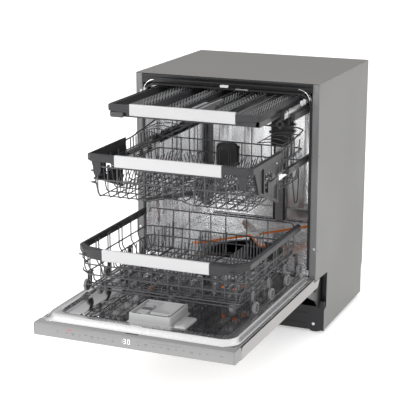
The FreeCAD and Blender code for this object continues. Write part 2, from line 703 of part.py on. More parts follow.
def rack_wheels(y):
    """A pair of wheels on one cross line, with grooved treads."""
    wheel = cyl(WHEEL_R, WHEEL_WIDTH, (WHEEL_X - WHEEL_WIDTH / 2, y, WHEEL_Z), (1, 0, 0))
    return both(wheel.cut(cyl(3.1, 30, (WHEEL_X - 15, y, WHEEL_Z), (1, 0, 0))))


def wheel_carriers():
    """Clip-on carriers that hang the wheels from the lower basket's sides."""
    pieces = []
    for y in WHEEL_YS:
        plate = box(LOW_HALF + 3, LOW_HALF + 6, y - 12, y + 12, WHEEL_Z - 8, WHEEL_Z + 46)
        axle = cyl(3, 15, (LOW_HALF + 6, y, WHEEL_Z), (1, 0, 0))
        pieces += both(fuse([plate, axle]))
    return pieces


def middle_frame():
    """Dark frame of the middle rack: front corners, side rails and windowed side plates."""
    low, high = MID_FRAME_LOW, MID_FRAME_TOP
    corner = prism_xy([
        (MID_HALF + 3, MID_FRAME_REAR),
        (MID_HALF + 12, MID_FRAME_REAR),
        (MID_HALF + 12, MID_FRONT - 4),
        (MID_HALF + 6, MID_BAR_Y + 1),
        (BAR_HALF + 0.6, MID_BAR_Y + 1),
        (BAR_HALF + 0.6, MID_BAR_Y + 5.4),
        (MID_HALF + 3, MID_BAR_Y + 5.4),
    ], low, high)
    plate = prism_yz([(-400, low), (-330, 560), (-200, 520), (-200, low)], MID_HALF + 3, MID_HALF + 6)
    plate = plate.cut(prism_yz([(-345, 620), (-320, 580), (-290, 570), (-290, 620)], MID_HALF, MID_HALF + 9))
    return both(fuse([corner, plate]))


def height_levers():
    """Middle rack's carriage: height-adjust levers on the innermost members of its rails."""
    x0 = MID_HALF + 6.4
    lever = box(x0, x0 + 3, -300, MID_INNER_FRONT + 4, 560, 580)
    grip = box(x0, x0 + 5.6, -304, -290, 552, 588)
    inner_rail = box(x0, INNER_RAIL_X1, MID_INNER_FRONT, MID_INNER_REAR, MID_INNER_LOW, MID_INNER_TOP)
    return both(fuse([lever, grip, inner_rail]))


def cup_shelf(side):
    """Folding cup shelf along one side of the middle rack: a rod, arms and an outer rail."""
    hinge_x = side * (MID_HALF - 6)
    free_x = hinge_x - side * CUP_SHELF_REACH
    x0, x1 = sorted((hinge_x, free_x))
    low, high = CUP_SHELF_Z - WIRE / 2, CUP_SHELF_Z + WIRE / 2
    rear = MID_BACK - 8
    rods = [box(x - 2, x + 2, CUP_SHELF_FRONT, rear, low, high) for x in (hinge_x, (x0 + x1) / 2, free_x)]
    arms = [box(x0, x1, y - 2, y + 2, low, high) for y in span(CUP_SHELF_FRONT + 6, rear - 6, 7)]
    return fuse(rods + arms)


def top_tray():
    """Cutlery tray: thin walls, floor and the fore-and-aft dividers."""
    wall = 2.5
    outer = box(-TOP_HALF, TOP_HALF, TOP_FRONT, TOP_BACK, TOP_FLOOR, TOP_RIM - 2)
    inner = box(
        -TOP_HALF + wall, TOP_HALF - wall, TOP_FRONT + wall, TOP_BACK - wall,
        TOP_FLOOR + wall, TOP_RIM + 5,
    )
    tray = [outer.cut(inner)]
    for x in DIVIDERS:
        tray.append(box(x - 1.5, x + 1.5, TOP_FRONT + 1, TOP_BACK - 1, TOP_FLOOR + 1, TOP_RIM - 4))
    return fuse(tray)


def top_frame():
    """Carrying frame round the tray: front corner, side rail and innermost rail member, one each side."""
    rail = prism_xy([
        (TOP_HALF + 1, TOP_BACK),
        (TOP_HALF + 6, TOP_BACK),
        (TOP_HALF + 6, TOP_FRONT + 2),
        (TOP_HALF - 4, TOP_BAR_Y + 1),
        (BAR_HALF + 0.6, TOP_BAR_Y + 1),
        (BAR_HALF + 0.6, TOP_BAR_Y + 11),
        (TOP_HALF + 1, TOP_BAR_Y + 12),
    ], TOP_FRAME_LOW, TOP_RIM)
    inner_rail = box(
        TOP_HALF + 2, INNER_RAIL_X1, TOP_INNER_FRONT, TOP_INNER_REAR, TOP_INNER_LOW, TOP_INNER_TOP,
    )
    return both(fuse([rail, inner_rail]))


# ---- write every node ----
def cabinet_nodes():
    """Everything that stands still, and the turning pieces in the tub."""
    right = side_panel()
    save("right_side_panel", right)
    save("left_side_panel", mirrored(right))
    save("top_panel", top_panel())
    save("front_posts", both(front_post()))
    save("top_front_bar", top_front_bar())
    save("door_striker", door_striker())
    save("tub_wrap", tub_wrap())
    save("tub_back", tub_back())
    save("tub_floor", tub_floor())
    save("door_gasket", door_gasket())
    save("base_pan", base_pan())
    save("toe_plate", toe_plate())
    save("levelling_feet", levelling_feet())
    save("hinge_brackets", hinge_brackets())
    save("door_springs", door_springs())
    save("sump", sump())
    save("wash_pump", wash_pump())
    save("drain_pump", drain_pump())
    save("inlet_valve", inlet_valve())
    save("feed_duct", feed_duct())
    save("filter_plate", filter_plate())
    save("filter_cylinder", filter_cylinder())
    arm = spray_arm(LOWER_ARM_Z, HUB_Y, reach=222, short=150, hub_r=26, thick=11, seat_r=8)
    save("lower_spray_arm", arm)
    arm = spray_arm(CEILING_ARM_Z, HUB_Y, reach=150, short=110, hub_r=22, thick=6, seat_r=5)
    save("ceiling_spray_arm", arm)
    save("top_rails", fixed_rails(TOP_RAIL_Z))
    save("middle_rails", fixed_rails(MID_RAIL_Z))
    save("top_rail_sliders", sliders(TOP_TRAVEL, TOP_RAIL_Z))
    save("middle_rail_sliders", sliders(MID_TRAVEL, MID_RAIL_Z))


def door_nodes():
    """The door and what it carries."""
    save("door_outer_panel", door_outer_panel())
    save("door_liner", door_liner())
    save("control_strip", control_strip())
    save("control_board", control_board())
    save("door_latch", door_latch())
    save("dispenser_body", dispenser_body())
    save("dispenser_lid", dispenser_lid())
    save("rinse_aid_cap", rinse_aid_cap())
    save("hinge_arms", hinge_arms())


def rack_nodes():
    """The three racks."""
    floor = basket_floor(LOW_HALF, LOW_FRONT, LOW_BACK, LOW_FLOOR, LOW_WIRES_X, LOW_WIRES_Y)
    save("lower_basket_floor", floor)
    walls = basket_walls(
        LOW_HALF, LOW_FRONT, LOW_BACK, LOW_LEVELS, LOW_FLOOR - 2, LOW_WALL_TOP, LOW_WIRES_X, LOW_WIRES_Y,
    )
    save("lower_basket_walls", walls)
    save("lower_rim", lower_rim())
    save("lower_handle_bar", handle_bar(LOW_BAR_Y, LOW_BAR_Z))
    tine_front, tine_rear = LOW_FRONT + 40, LOW_BACK - 20
    for name, x in (("left", -TINE_X), ("right", TINE_X)):
        row = comb_y(x, tine_front, tine_rear, TINE_COUNT, TINE_ROD_Z, TINE_HEIGHT)
        save("lower_tines_%s" % name, row)
    fixed = comb_y(FIXED_TINE_X, tine_front, tine_rear, TINE_COUNT, FIXED_ROD_Z, FIXED_TINE_HEIGHT)
    save("lower_tines_fixed", list(reversed(both(fixed))))
    for index, y in enumerate(WHEEL_YS):
        save("lower_wheels_%d" % (index + 1), rack_wheels(y))
    save("lower_wheel_carriers", wheel_carriers())
    floor = basket_floor(
        MID_HALF, MID_FRONT, MID_BACK, MID_FLOOR, MID_FLOOR_WIRES_X, MID_FLOOR_WIRES_Y,
    )
    save("middle_basket_floor", floor)
    walls = basket_walls(
        MID_HALF, MID_FRONT, MID_BACK, MID_LEVELS, MID_FLOOR - 2, MID_TOP,
        MID_WALL_WIRES_X, MID_WALL_WIRES_Y,
    )
    save("middle_basket_walls", walls)
    save("middle_frame", middle_frame())
    save("middle_handle_bar", handle_bar(MID_BAR_Y, MID_BAR_Z))
    save("height_levers", height_levers())
    save("cup_shelf_left", cup_shelf(-1))
    save("cup_shelf_right", cup_shelf(1))
    arm = spray_arm(MIDDLE_ARM_Z, MIDDLE_ARM_Y, reach=190, short=130, hub_r=22, thick=9, seat_r=5)
    save("middle_spray_arm", arm)
    save("top_tray", top_tray())
    save("top_frame", top_frame())
    save("top_handle_bar", handle_bar(TOP_BAR_Y, TOP_BAR_Z))


cabinet_nodes()
door_nodes()
rack_nodes()
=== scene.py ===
import math

import bmesh
import bpy
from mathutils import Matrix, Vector


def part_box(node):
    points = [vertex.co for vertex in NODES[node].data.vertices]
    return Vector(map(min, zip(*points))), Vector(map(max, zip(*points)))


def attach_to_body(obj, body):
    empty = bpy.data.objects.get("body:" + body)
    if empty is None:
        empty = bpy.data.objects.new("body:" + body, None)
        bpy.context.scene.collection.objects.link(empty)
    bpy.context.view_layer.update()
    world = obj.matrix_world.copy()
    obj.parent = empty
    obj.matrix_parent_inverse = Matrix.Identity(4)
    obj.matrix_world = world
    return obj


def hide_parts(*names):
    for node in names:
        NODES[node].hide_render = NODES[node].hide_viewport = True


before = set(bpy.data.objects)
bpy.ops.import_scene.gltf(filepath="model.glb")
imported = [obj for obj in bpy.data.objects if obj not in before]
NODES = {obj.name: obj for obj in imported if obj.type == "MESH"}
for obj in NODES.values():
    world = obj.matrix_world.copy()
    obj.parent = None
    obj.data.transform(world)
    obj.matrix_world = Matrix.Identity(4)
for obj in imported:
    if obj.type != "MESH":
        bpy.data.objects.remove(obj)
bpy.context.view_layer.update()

MM = 0.001
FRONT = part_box("front_posts")[0][1]          # Y of the cabinet's front plane

BEND_STEPS = 4                               # points along each wire bend
EDGE_ANGLE = 35                              # degrees: sharper edges are eased

# Places in millimetres that several pieces share
WALL, REAR = 273.9, 511.9                    # inner faces of the tub's side and rear sheets
TUB_FLOOR, SUMP_Y = 220.0, 165               # tub floor height, depth of the sump's centre
PORT_X, PORT_Z = 7, 583                      # centre of the docking port
AXLE_Z = 255.6                               # lower rack's wheel axles
WHEEL_Y = (-423, -297, -160, -50)
ARM_ANGLES = (50, 230, 122, 302)             # blades of each spray arm: two long, two short


def at(x, y, z):
    """A point in millimetres from the cabinet's front plane and the floor, as metres in the frame."""
    return Vector((x * MM, y * MM + FRONT, z * MM))


def span(first, last, count):
    """Evenly spaced values from first to last."""
    return [first + (last - first) * i / (count - 1) for i in range(count)]


# ---------------------------------------------------------------- materials
def principled(name):
    """A new node material and its Principled shader."""
    mat = bpy.data.materials.new(name)
    mat.use_nodes = True
    return mat, mat.node_tree.nodes["Principled BSDF"]


def add_noise(mat, scale, detail=3.0, stretch=(1, 1, 1)):
    """Noise in object space, stretched where the finish has a direction."""
    tree = mat.node_tree
    place = tree.nodes.new("ShaderNodeTexCoord")
    mapping = tree.nodes.new("ShaderNodeMapping")
    mapping.inputs["Scale"].default_value = stretch
    noise = tree.nodes.new("ShaderNodeTexNoise")
    noise.inputs["Scale"].default_value = scale
    noise.inputs["Detail"].default_value = detail
    tree.links.new(place.outputs["Object"], mapping.inputs["Vector"])
    tree.links.new(mapping.outputs["Vector"], noise.inputs["Vector"])
    return noise


def add_bump(mat, shader, noise, strength, distance=0.0005):
    """Fine surface relief from a noise."""
    tree = mat.node_tree
    bump = tree.nodes.new("ShaderNodeBump")
    bump.inputs["Strength"].default_value = strength
    bump.inputs["Distance"].default_value = distance
    tree.links.new(noise.outputs["Fac"], bump.inputs["Height"])
    tree.links.new(bump.outputs["Normal"], shader.inputs["Normal"])


def vary_colour(mat, shader, noise, dark, light):
    """Base colour that drifts between two close tones."""
    tree = mat.node_tree
    ramp = tree.nodes.new("ShaderNodeValToRGB")
    ramp.color_ramp.elements[0].position = 0.3
    ramp.color_ramp.elements[1].position = 0.7
    ramp.color_ramp.elements[0].color = (*dark, 1)
    ramp.color_ramp.elements[1].color = (*light, 1)
    tree.links.new(noise.outputs["Fac"], ramp.inputs["Fac"])
    tree.links.new(ramp.outputs["Color"], shader.inputs["Base Color"])


def vary_roughness(mat, shader, noise, low, high):
    """Roughness that drifts between two values."""
    tree = mat.node_tree
    drift = tree.nodes.new("ShaderNodeMapRange")
    drift.inputs["From Min"].default_value = 0.3
    drift.inputs["From Max"].default_value = 0.7
    drift.inputs["To Min"].default_value = max(0.02, low)
    drift.inputs["To Max"].default_value = high
    tree.links.new(noise.outputs["Fac"], drift.inputs["Value"])
    tree.links.new(drift.outputs["Result"], shader.inputs["Roughness"])


def shade(colour, factor):
    """A colour made darker or lighter by a factor."""
    return tuple(min(1.0, c * factor) for c in colour)


def paint(name, colour, rough=0.42, spread=0.05, metallic=0.0, grain=900):
    """Powder coat or lacquer: even colour, orange-peel relief and slight gloss drift."""
    mat, shader = principled(name)
    shader.inputs["Metallic"].default_value = metallic
    fine = add_noise(mat, grain)
    broad = add_noise(mat, 3.0)
    vary_colour(mat, shader, broad, shade(colour, 1 - spread), shade(colour, 1 + spread))
    vary_roughness(mat, shader, broad, rough - 0.05, rough + 0.05)
    add_bump(mat, shader, fine, 0.12, 0.0002)
    return mat


def plastic(name, colour, rough=0.5, grain=1400, relief=0.25, spread=0.08):
    """Moulded plastic with a fine spark-eroded grain."""
    mat, shader = principled(name)
    fine = add_noise(mat, grain, 2.0)
    broad = add_noise(mat, 14.0)
    vary_colour(mat, shader, broad, shade(colour, 1 - spread), shade(colour, 1 + spread))
    vary_roughness(mat, shader, broad, rough - 0.06, rough + 0.06)
    add_bump(mat, shader, fine, relief, 0.0002)
    return mat


def steel(name, colour, rough=0.22, stretch=(1, 1, 30), spread=0.06, relief=0.05, grain=60.0):
    """Sheet steel: metallic, with drawn lines across one direction."""
    mat, shader = principled(name)
    shader.inputs["Metallic"].default_value = 1.0
    lines = add_noise(mat, grain, 4.0, stretch)
    vary_colour(mat, shader, lines, shade(colour, 1 - spread), shade(colour, 1 + spread))
    vary_roughness(mat, shader, lines, rough * 0.8, rough * 1.2)
    if relief:
        add_bump(mat, shader, lines, relief, 0.0003)
    return mat


def glow(name, colour, strength):
    """Lit display segment, slightly uneven."""
    mat, shader = principled(name)
    noise = add_noise(mat, 300.0)
    vary_colour(mat, shader, noise, shade(colour, 0.9), colour)
    shader.inputs["Emission Color"].default_value = (*colour, 1)
    shader.inputs["Emission Strength"].default_value = strength
    return mat


MAT = {
    "side": paint("side_panel_coat", (0.208, 0.205, 0.200), 0.5, 0.02),
    "top": paint("top_panel_coat", (0.19, 0.185, 0.18), 0.5, 0.02),
    "post": paint("post_coat", (0.18, 0.178, 0.182), 0.4, 0.04),
    "black_bar": paint("front_bar_black", (0.010, 0.010, 0.011), 0.28, 0.1),
    "tub": steel("tub_stainless", (0.90, 0.90, 0.91), 0.26, (1, 1, 0.05), 0.02, 0, 60.0),
    "bright": steel("polished_edge", (0.88, 0.88, 0.88), 0.18, (1, 1, 1), 0.04, 0.01, 40.0),
    "zinc": steel("zinc_plate", (0.74, 0.74, 0.74), 0.3),
    "rubber": plastic("gasket_rubber", (0.008, 0.008, 0.009), 0.6, 800),
    "base": plastic("base_plastic_black", (0.012, 0.011, 0.014), 0.42),
    "feet": plastic("feet_plastic", (0.03, 0.03, 0.03), 0.5),
    "dark_steel": steel("hinge_steel_dark", (0.12, 0.12, 0.12), 0.4),
    "spring": steel("spring_steel", (0.5, 0.5, 0.5), 0.3),
    "sump": plastic("sump_plastic", (0.02, 0.02, 0.022), 0.35),
    "pump": paint("pump_body_coat", (0.08, 0.08, 0.085), 0.45, 0.1),
    "valve": plastic("valve_plastic_white", (0.7, 0.7, 0.68), 0.4),
    "duct": plastic("duct_plastic_grey", (0.05, 0.05, 0.052), 0.4),
    "duct_steel": paint("duct_front_grey", (0.34, 0.34, 0.345), 0.22, 0.04, 0.8),
    "mesh": steel("filter_mesh_steel", (0.06, 0.06, 0.06), 0.4, (8, 8, 8), 0.3, 0.4),
    "arm": plastic("spray_arm_white", (0.78, 0.78, 0.77), 0.3, 1400, 0.12, 0.02),
    "orange": plastic("nozzle_strip_orange", (1.0, 0.22, 0.015), 0.38),
    "wheel_light": plastic("roller_plastic", (0.55, 0.55, 0.56), 0.32, 900, 0.1, 0.05),
    "rail_dark": paint("rail_channel_dark", (0.03, 0.03, 0.032), 0.3, 0.1, 0.5),
    "door": paint("door_coat", (0.36, 0.345, 0.34), 0.4, 0.03),
    "liner": steel("liner_stainless", (0.74, 0.74, 0.745), 0.25, (1, 0.06, 1), 0.01, 0, 120.0),
    # Same stainless as the liner with a darker base colour: painted dark reflection in the door recess
    "mirror": steel("liner_recess_painted_dark_reflection", (0.50, 0.50, 0.51), 0.11, (1, 0.06, 1), 0.02, 0, 120.0),
    "strip": paint("control_strip_metallic", (0.262, 0.26, 0.26), 0.36, 0.02, 0.2),
    "legend": paint("legend_ink", (0.10, 0.10, 0.10), 0.5, 0.1),
    "red": plastic("legend_red", (0.55, 0.05, 0.07), 0.5),
    "lit": glow("display_segment", (1.0, 1.0, 1.0), 0.45),
    "board": plastic("circuit_board", (0.02, 0.10, 0.05), 0.5),
    "dispenser": plastic("dispenser_grey", (0.36, 0.36, 0.365), 0.36, 1200, 0.12, 0.02),
    "recess": plastic("dispenser_recess", (0.10, 0.10, 0.105), 0.45),
    "cap": plastic("rinse_cap_plastic", (0.30, 0.30, 0.31), 0.4),
    "wire": plastic("nylon_coated_wire", (0.07, 0.07, 0.074), 0.25, 300, 0.08, 0.12),
    "dark": plastic("rack_plastic_dark", (0.017, 0.017, 0.019), 0.42),
    "dark_soft": plastic("rack_plastic_grey", (0.05, 0.05, 0.053), 0.42),
    "black": plastic("rack_plastic_black", (0.012, 0.012, 0.013), 0.38),
    "wheel": plastic("wheel_plastic", (0.16, 0.16, 0.163), 0.34, 900, 0.1, 0.1),
    "bar": paint("handle_bar_silver", (0.50, 0.50, 0.505), 0.36, 0.01, 0.1),
    "tray": plastic("tray_plastic", (0.03, 0.03, 0.032), 0.34),
    "tray_light": plastic("tray_plastic_light", (0.24, 0.24, 0.245), 0.34),
    "tray_mid": plastic("tray_plastic_mid", (0.030, 0.030, 0.031), 0.34),
    "clear_grey": plastic("comb_plastic_grey", (0.13, 0.13, 0.135), 0.28),
}

# Finish of each CAD node
NODE_LOOK = {
    "side": "right_side_panel left_side_panel",
    "top": "top_panel",
    "post": "front_posts",
    "black_bar": "top_front_bar",
    "zinc": "door_striker door_latch",
    "tub": "tub_wrap tub_back tub_floor",
    "rubber": "door_gasket",
    "base": "base_pan toe_plate",
    "feet": "levelling_feet",
    "dark_steel": "hinge_brackets hinge_arms",
    "spring": "door_springs",
    "sump": "sump",
    "pump": "wash_pump drain_pump",
    "valve": "inlet_valve",
    "duct_steel": "feed_duct",
    "mesh": "filter_plate filter_cylinder",
    "arm": "lower_spray_arm",
    "duct": "ceiling_spray_arm middle_spray_arm",
    "rail_dark": "top_rails middle_rails top_rail_sliders middle_rail_sliders",
    "door": "door_outer_panel",
    "liner": "door_liner",
    "strip": "control_strip",
    "board": "control_board",
    "dispenser": "dispenser_body dispenser_lid",
    "cap": "rinse_aid_cap",
    "wire": "lower_basket_floor lower_basket_walls lower_tines_left lower_tines_right lower_tines_fixed "
            "middle_basket_floor middle_basket_walls cup_shelf_left cup_shelf_right",
    "dark": "lower_rim lower_wheel_carriers middle_frame height_levers top_frame",
    "bar": "lower_handle_bar middle_handle_bar top_handle_bar",
    "wheel": "lower_wheels_1 lower_wheels_2 lower_wheels_3 lower_wheels_4",
    "tray": "top_tray",
}
for look, node_names in NODE_LOOK.items():
    for node in node_names.split():
        for material_slot in NODES[node].material_slots:
            material_slot.material = MAT[look]


# ---------------------------------------------------------------- building helpers
def attach(obj, look, body, stands_for=()):
    """Put a piece in the scene with its finish, riding on its body."""
    obj.data.materials.append(MAT[look])
    bpy.context.scene.collection.objects.link(obj)
    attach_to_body(obj, body)
    if stands_for:
        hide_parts(*stands_for)
    return obj


def level(z, *rect):
    """Round-cornered ring lying flat at height z."""
    return [(x, y, z) for x, y in round_rect(*rect)]


def upright(y, *rect):
    """Round-cornered ring standing across the machine at depth y."""
    return [(x, y, z) for x, z in round_rect(*rect)]


def rounded(points, radius, closed):
    """A path with its corners turned into short curves."""
    pts = [Vector(p) for p in points]
    count = len(pts)
    out = []
    for i, p in enumerate(pts):
        if not closed and i in (0, count - 1):
            out.append(p)
            continue
        before, after = pts[i - 1], pts[(i + 1) % count]
        reach = min(radius, (before - p).length * 0.49, (after - p).length * 0.49)
        a = p + (before - p).normalized() * reach
        b = p + (after - p).normalized() * reach
        for k in range(BEND_STEPS + 1):
            t = k / BEND_STEPS
            out.append(a * (1 - t) ** 2 + p * 2 * t * (1 - t) + b * t ** 2)
    return out


def wires(name, paths, look, body, r=2.0, bend=8.0, stands_for=(), closed=False):
    """Round wires along paths, bent like formed rod, as one piece."""
    data = bpy.data.curves.new(name, "CURVE")
    data.dimensions = "3D"
    data.bevel_depth = r * MM
    data.bevel_resolution = 2
    data.use_fill_caps = True
    for path in paths:
        pts = rounded(path, bend, closed)
        line = data.splines.new("POLY")
        line.points.add(len(pts) - 1)
        for point, p in zip(line.points, pts):
            point.co = (*at(*p), 1)
        line.use_cyclic_u = closed
    obj = bpy.data.objects.new(name, data)
    return attach(obj, look, body, stands_for)


class Shape:
    """Solid detail drawn in millimetres and finished as one piece."""

    def __init__(self):
        self.bm = bmesh.new()

    def _ring(self, points):
        return [self.bm.verts.new(at(*p)) for p in points]

    def _bridge(self, a, b):
        n = len(a)
        for i in range(n):
            self.bm.faces.new((a[i], a[(i + 1) % n], b[(i + 1) % n], b[i]))

    def loft(self, rings, cap_first=True, cap_last=True):
        """Skin through rings of equal point counts."""
        made = [self._ring(r) for r in rings]
        for a, b in zip(made, made[1:]):
            self._bridge(a, b)
        if cap_first:
            self.bm.faces.new(list(reversed(made[0])))
        if cap_last:
            self.bm.faces.new(made[-1])
        return self

    def prism(self, outline, axis, low, high):
        """Outline drawn out along an axis. The outline gives the other two coordinates in order."""
        def place(p, d):
            return {"x": (d, p[0], p[1]), "y": (p[0], d, p[1]), "z": (p[0], p[1], d)}[axis]
        return self.loft([[place(p, low) for p in outline], [place(p, high) for p in outline]])

    def slab(self, x0, x1, y0, y1, z0, z1):
        """Block of a larger piece."""
        return self.prism([(x0, y0), (x1, y0), (x1, y1), (x0, y1)], "z", z0, z1)

    def turn(self, profile, centre, axis="z", steps=28):
        """Profile of (radius, height) pairs turned about an axis, closed by a disc at each end."""
        cx, cy, cz = centre
        rings = []
        for radius, height in profile:
            ring = []
            for k in range(steps):
                a = 2 * math.pi * k / steps
                u, v = radius * math.cos(a), radius * math.sin(a)
                ring.append({
                    "z": (cx + u, cy + v, cz + height),
                    "x": (cx + height, cy + u, cz + v),
                    "y": (cx + u, cy + height, cz + v),
                }[axis])
            rings.append(ring)
        return self.loft(rings)

    def both(self):
        """Add the mirror image on the other side."""
        copy = bmesh.ops.duplicate(self.bm, geom=self.bm.verts[:] + self.bm.edges[:] + self.bm.faces[:])
        verts = [g for g in copy["geom"] if isinstance(g, bmesh.types.BMVert)]
        for v in verts:
            v.co.x = -v.co.x
        return self

    def done(self, name, look, body, bevel=0.6, slot=None, stands_for=(), segments=2, smooth=EDGE_ANGLE):
        """Finish the piece: outward normals, softened edges and a finish."""
        bmesh.ops.recalc_face_normals(self.bm, faces=self.bm.faces)
        mesh = bpy.data.meshes.new(name)
        self.bm.to_mesh(mesh)
        self.bm.free()
        for poly in mesh.polygons:
            poly.use_smooth = True
        mesh.set_sharp_from_angle(angle=math.radians(smooth))
        obj = bpy.data.objects.new(name, mesh)
        if bevel:
            mod = obj.modifiers.new("edges", "BEVEL")
            mod.width = bevel * MM
            mod.segments = segments
            mod.limit_method = "ANGLE"
            mod.angle_limit = math.radians(EDGE_ANGLE)
            mod.harden_normals = True
        return attach(obj, look, body, stands_for)


def round_rect(x0, x1, y0, y1, r, steps=8):
    """Outline of a rectangle with round corners."""
    out = []
    for cx, cy, start in ((x1 - r, y1 - r, 0), (x0 + r, y1 - r, 90), (x0 + r, y0 + r, 180),
                          (x1 - r, y0 + r, 270)):
        for k in range(steps + 1):
            a = math.radians(start + 90 * k / steps)
            out.append((cx + r * math.cos(a), cy + r * math.sin(a)))
    return out


# ---------------------------------------------------------------- cabinet
def cabinet():
    """Front bar, mouth trim, tub pressings, water duct and docking port, runways, toe panel and screws."""
    bar = [(1.6, 813), (-4, 813), (-6, 811), (-6, 805), (-4.2, 803.5), (-4.2, 799), (-6, 797.5), (-6, 789),
           (-3.5, 786), (1.6, 786)]
    Shape().prism(bar, "x", -277.4, 277.4).done(
        "front_bar", "black_bar", "cabinet", 0.8, "front_bar", ["top_front_bar"])
    arcs = []
    for side in (-1, 1):
        arcs.append([(side * (234 + 37 * math.sin(a)), -5.0, 759 + 37 * math.cos(a))
                     for a in (math.radians(d) for d in range(2, 84, 8))])
    wires("mouth_corner_trims", arcs, "bright", "cabinet", 1.6, 2)
    striker = Shape()
    striker.prism(round_rect(-13.5, 13.5, 787, 794.4, 2, 3), "y", -11.6, -6.4)
    striker.prism(round_rect(-8, 8, 789, 792, 1, 3), "y", -11.9, -11.5)
    striker.done("striker_plate", "arm", "cabinet", 0.5, "striker", ["door_striker"])
    clips = Shape()
    clips.prism(round_rect(34, 76, 781, 785.4, 1.5, 3), "y", -6.2, -4.2)
    clips.done("roof_clip", "zinc", "cabinet", 0.4)
    screws = Shape()
    for x, z in ((291, 308), (-290, 318)):
        screws.turn([(4.4, -0.2), (4.4, -1.2), (3.4, -2.2), (1.4, -2.5), (1.3, -1.6), (0.2, -1.6)],
                    (x, 0, z), "y", 20)
    screws.done("post_screws", "zinc", "cabinet", 0.2)
    channel = Shape()
    for x0, x1 in ((281.5, 284), (292.5, 294.5)):
        channel.prism([(x0, -0.05), (x1, -0.05), (x1, -0.9), (x0, -0.9)], "z", 212, 786)
    channel.both().done("post_beads", "post", "cabinet", 0.3, "posts")

    walls = Shape()
    for y in (112, 262, 412):
        outline = round_rect(y - 17, y + 17, 300, 690, 16, 6)
        inner = round_rect(y - 13, y + 13, 304, 686, 12, 6)
        walls.loft([[(WALL, a, b) for a, b in outline], [(271.6, a, b) for a, b in inner]])
    for z in (330, 470, 690):
        outline = round_rect(60, 470, z - 6, z + 6, 5.9, 5)
        inner = round_rect(63, 467, z - 3, z + 3, 2.9, 5)
        walls.loft([[(WALL, a, b) for a, b in outline], [(272.2, a, b) for a, b in inner]])
    walls.both().done("wall_embossings", "tub", "cabinet", 0, "tub_steel", smooth=50)
    rear = Shape()
    for x in (-205, -110, 110, 205):
        outline = round_rect(x - 24, x + 24, 300, 700, 20, 6)
        inner = round_rect(x - 19, x + 19, 305, 695, 15, 6)
        rear.loft([[(a, REAR, b) for a, b in outline], [(a, 509.2, b) for a, b in inner]])
    rear.done("rear_embossings", "tub", "cabinet", 0, "tub_steel", smooth=50)
    ducts = Shape()
    for x0, x1 in ((-19.3, -12.0), (17.0, 24.3)):
        for z0, z1 in ((242, 507), (625, 789)):
            ducts.prism([(x0, 500), (x0, 495.7), (x1, 495.7), (x1, 500)], "z", z0, z1)
    ducts.done("duct_edges", "black", "cabinet", 0, "duct_plastic")
    port = Shape()
    face = round_rect(-25, 39, 507, 626, 5, 4)
    port.loft([[(x, 496, z) for x, z in face], [(x, 484, z) for x, z in face],
               upright(482.6, -23, 37, 509, 624, 4, 4)])
    for x0, x1 in ((-33, -24), (38, 47)):
        for z in (553, 576, 599):
            port.prism(round_rect(x0, x1, z - 4.5, z + 4.5, 2.6, 3), "y", 484.5, 494)
    port.done("docking_port", "black", "cabinet", 0.8, "duct_plastic")
    ring = Shape()
    quarters = [math.radians(90 * k) for k in range(4)]
    diamond, hole = ([(PORT_X + r * math.cos(a), PORT_Z + r * math.sin(a)) for a in quarters]
                     for r in (17.5, 8.4))
    ring.loft([[(x, y, z) for x, z in outline]
               for y, outline in ((483.0, diamond), (481.4, diamond), (481.4, hole), (483.0, hole))], False,
               False)
    ring.done("docking_port_ring", "clear_grey", "cabinet", 0.4, "duct_plastic")
    bore = Shape()
    bore.turn([(8, -0.4), (8, 0.6), (6, 1.0), (0.2, 1.0)], (PORT_X, 482.0, PORT_Z), "y", 24)
    bore.done("docking_port_bore", "rubber", "cabinet", 0, "duct_plastic")

    beads = []
    for side in (-1, 1):
        for x, z in ((243.5, 237.4), (251.5, 237.4), (271, 240)):
            beads.append([(side * x, 8, z), (side * x, 500, z)])
    wires("runway_beads", beads, "bright", "cabinet", 2.6, 2)
    # Rear tub corners filled in dark hinge steel instead of the tub's own steel: painted shade in the corners
    corners = Shape()
    for side in (-1, 1):
        bend = [(side * (WALL - 24 + 24 * math.cos(a)), 487.9 + 24 * math.sin(a))
                for a in (math.radians(d) for d in range(0, 91, 10))]
        corners.prism([(side * WALL, REAR)] + bend, "z", 288, 760)
    corners.done("rear_corner_painted_shade", "dark_steel", "cabinet", 0, "tub_steel", smooth=50)
    ledge = Shape()
    for x0, x1 in ((-250, -21), (26, 250)):
        ledge.prism([(REAR, 288), (508.2, 284), (508.2, 246), (REAR, 242)], "x", x0, x1)
    ledge.done("rear_ledge", "bright", "cabinet", 0.8, "tub_steel")
    # Black strip on the rear wall just under the ledge: a painted shadow of the ledge, there is no seal here
    shadow = Shape()
    for x0, x1 in ((-250, -21), (26, 250)):
        shadow.prism([(REAR, 240), (510.6, 240), (510.6, 224), (REAR, 224)], "x", x0, x1)
    shadow.done("rear_ledge_painted_shadow", "rubber", "cabinet", 0, "gasket")

    toe = Shape()
    outline = [(-297, 8), (297, 8), (297, 106), (272, 106), (272, 88), (-272, 88), (-272, 106), (-297, 106)]
    toe.prism(outline, "y", 104.2, 111.2)
    for z in (26, 60):
        toe.prism(round_rect(-240, 240, z - 3, z + 3, 2.9, 4), "y", 102.8, 104.4)
    toe.done("toe_panel", "base", "cabinet", 1.2, "base_plastic", ["toe_plate"])
    toe_screws = Shape()
    for x in (-262, 262):
        toe_screws.turn([(5, 0.3), (5, -1.0), (3.8, -2.0), (1.6, -2.2), (1.5, -1.2), (0.2, -1.2)],
                        (x, 104, 28.5), "y", 20)
    toe_screws.done("toe_screws", "zinc", "cabinet", 0.2)


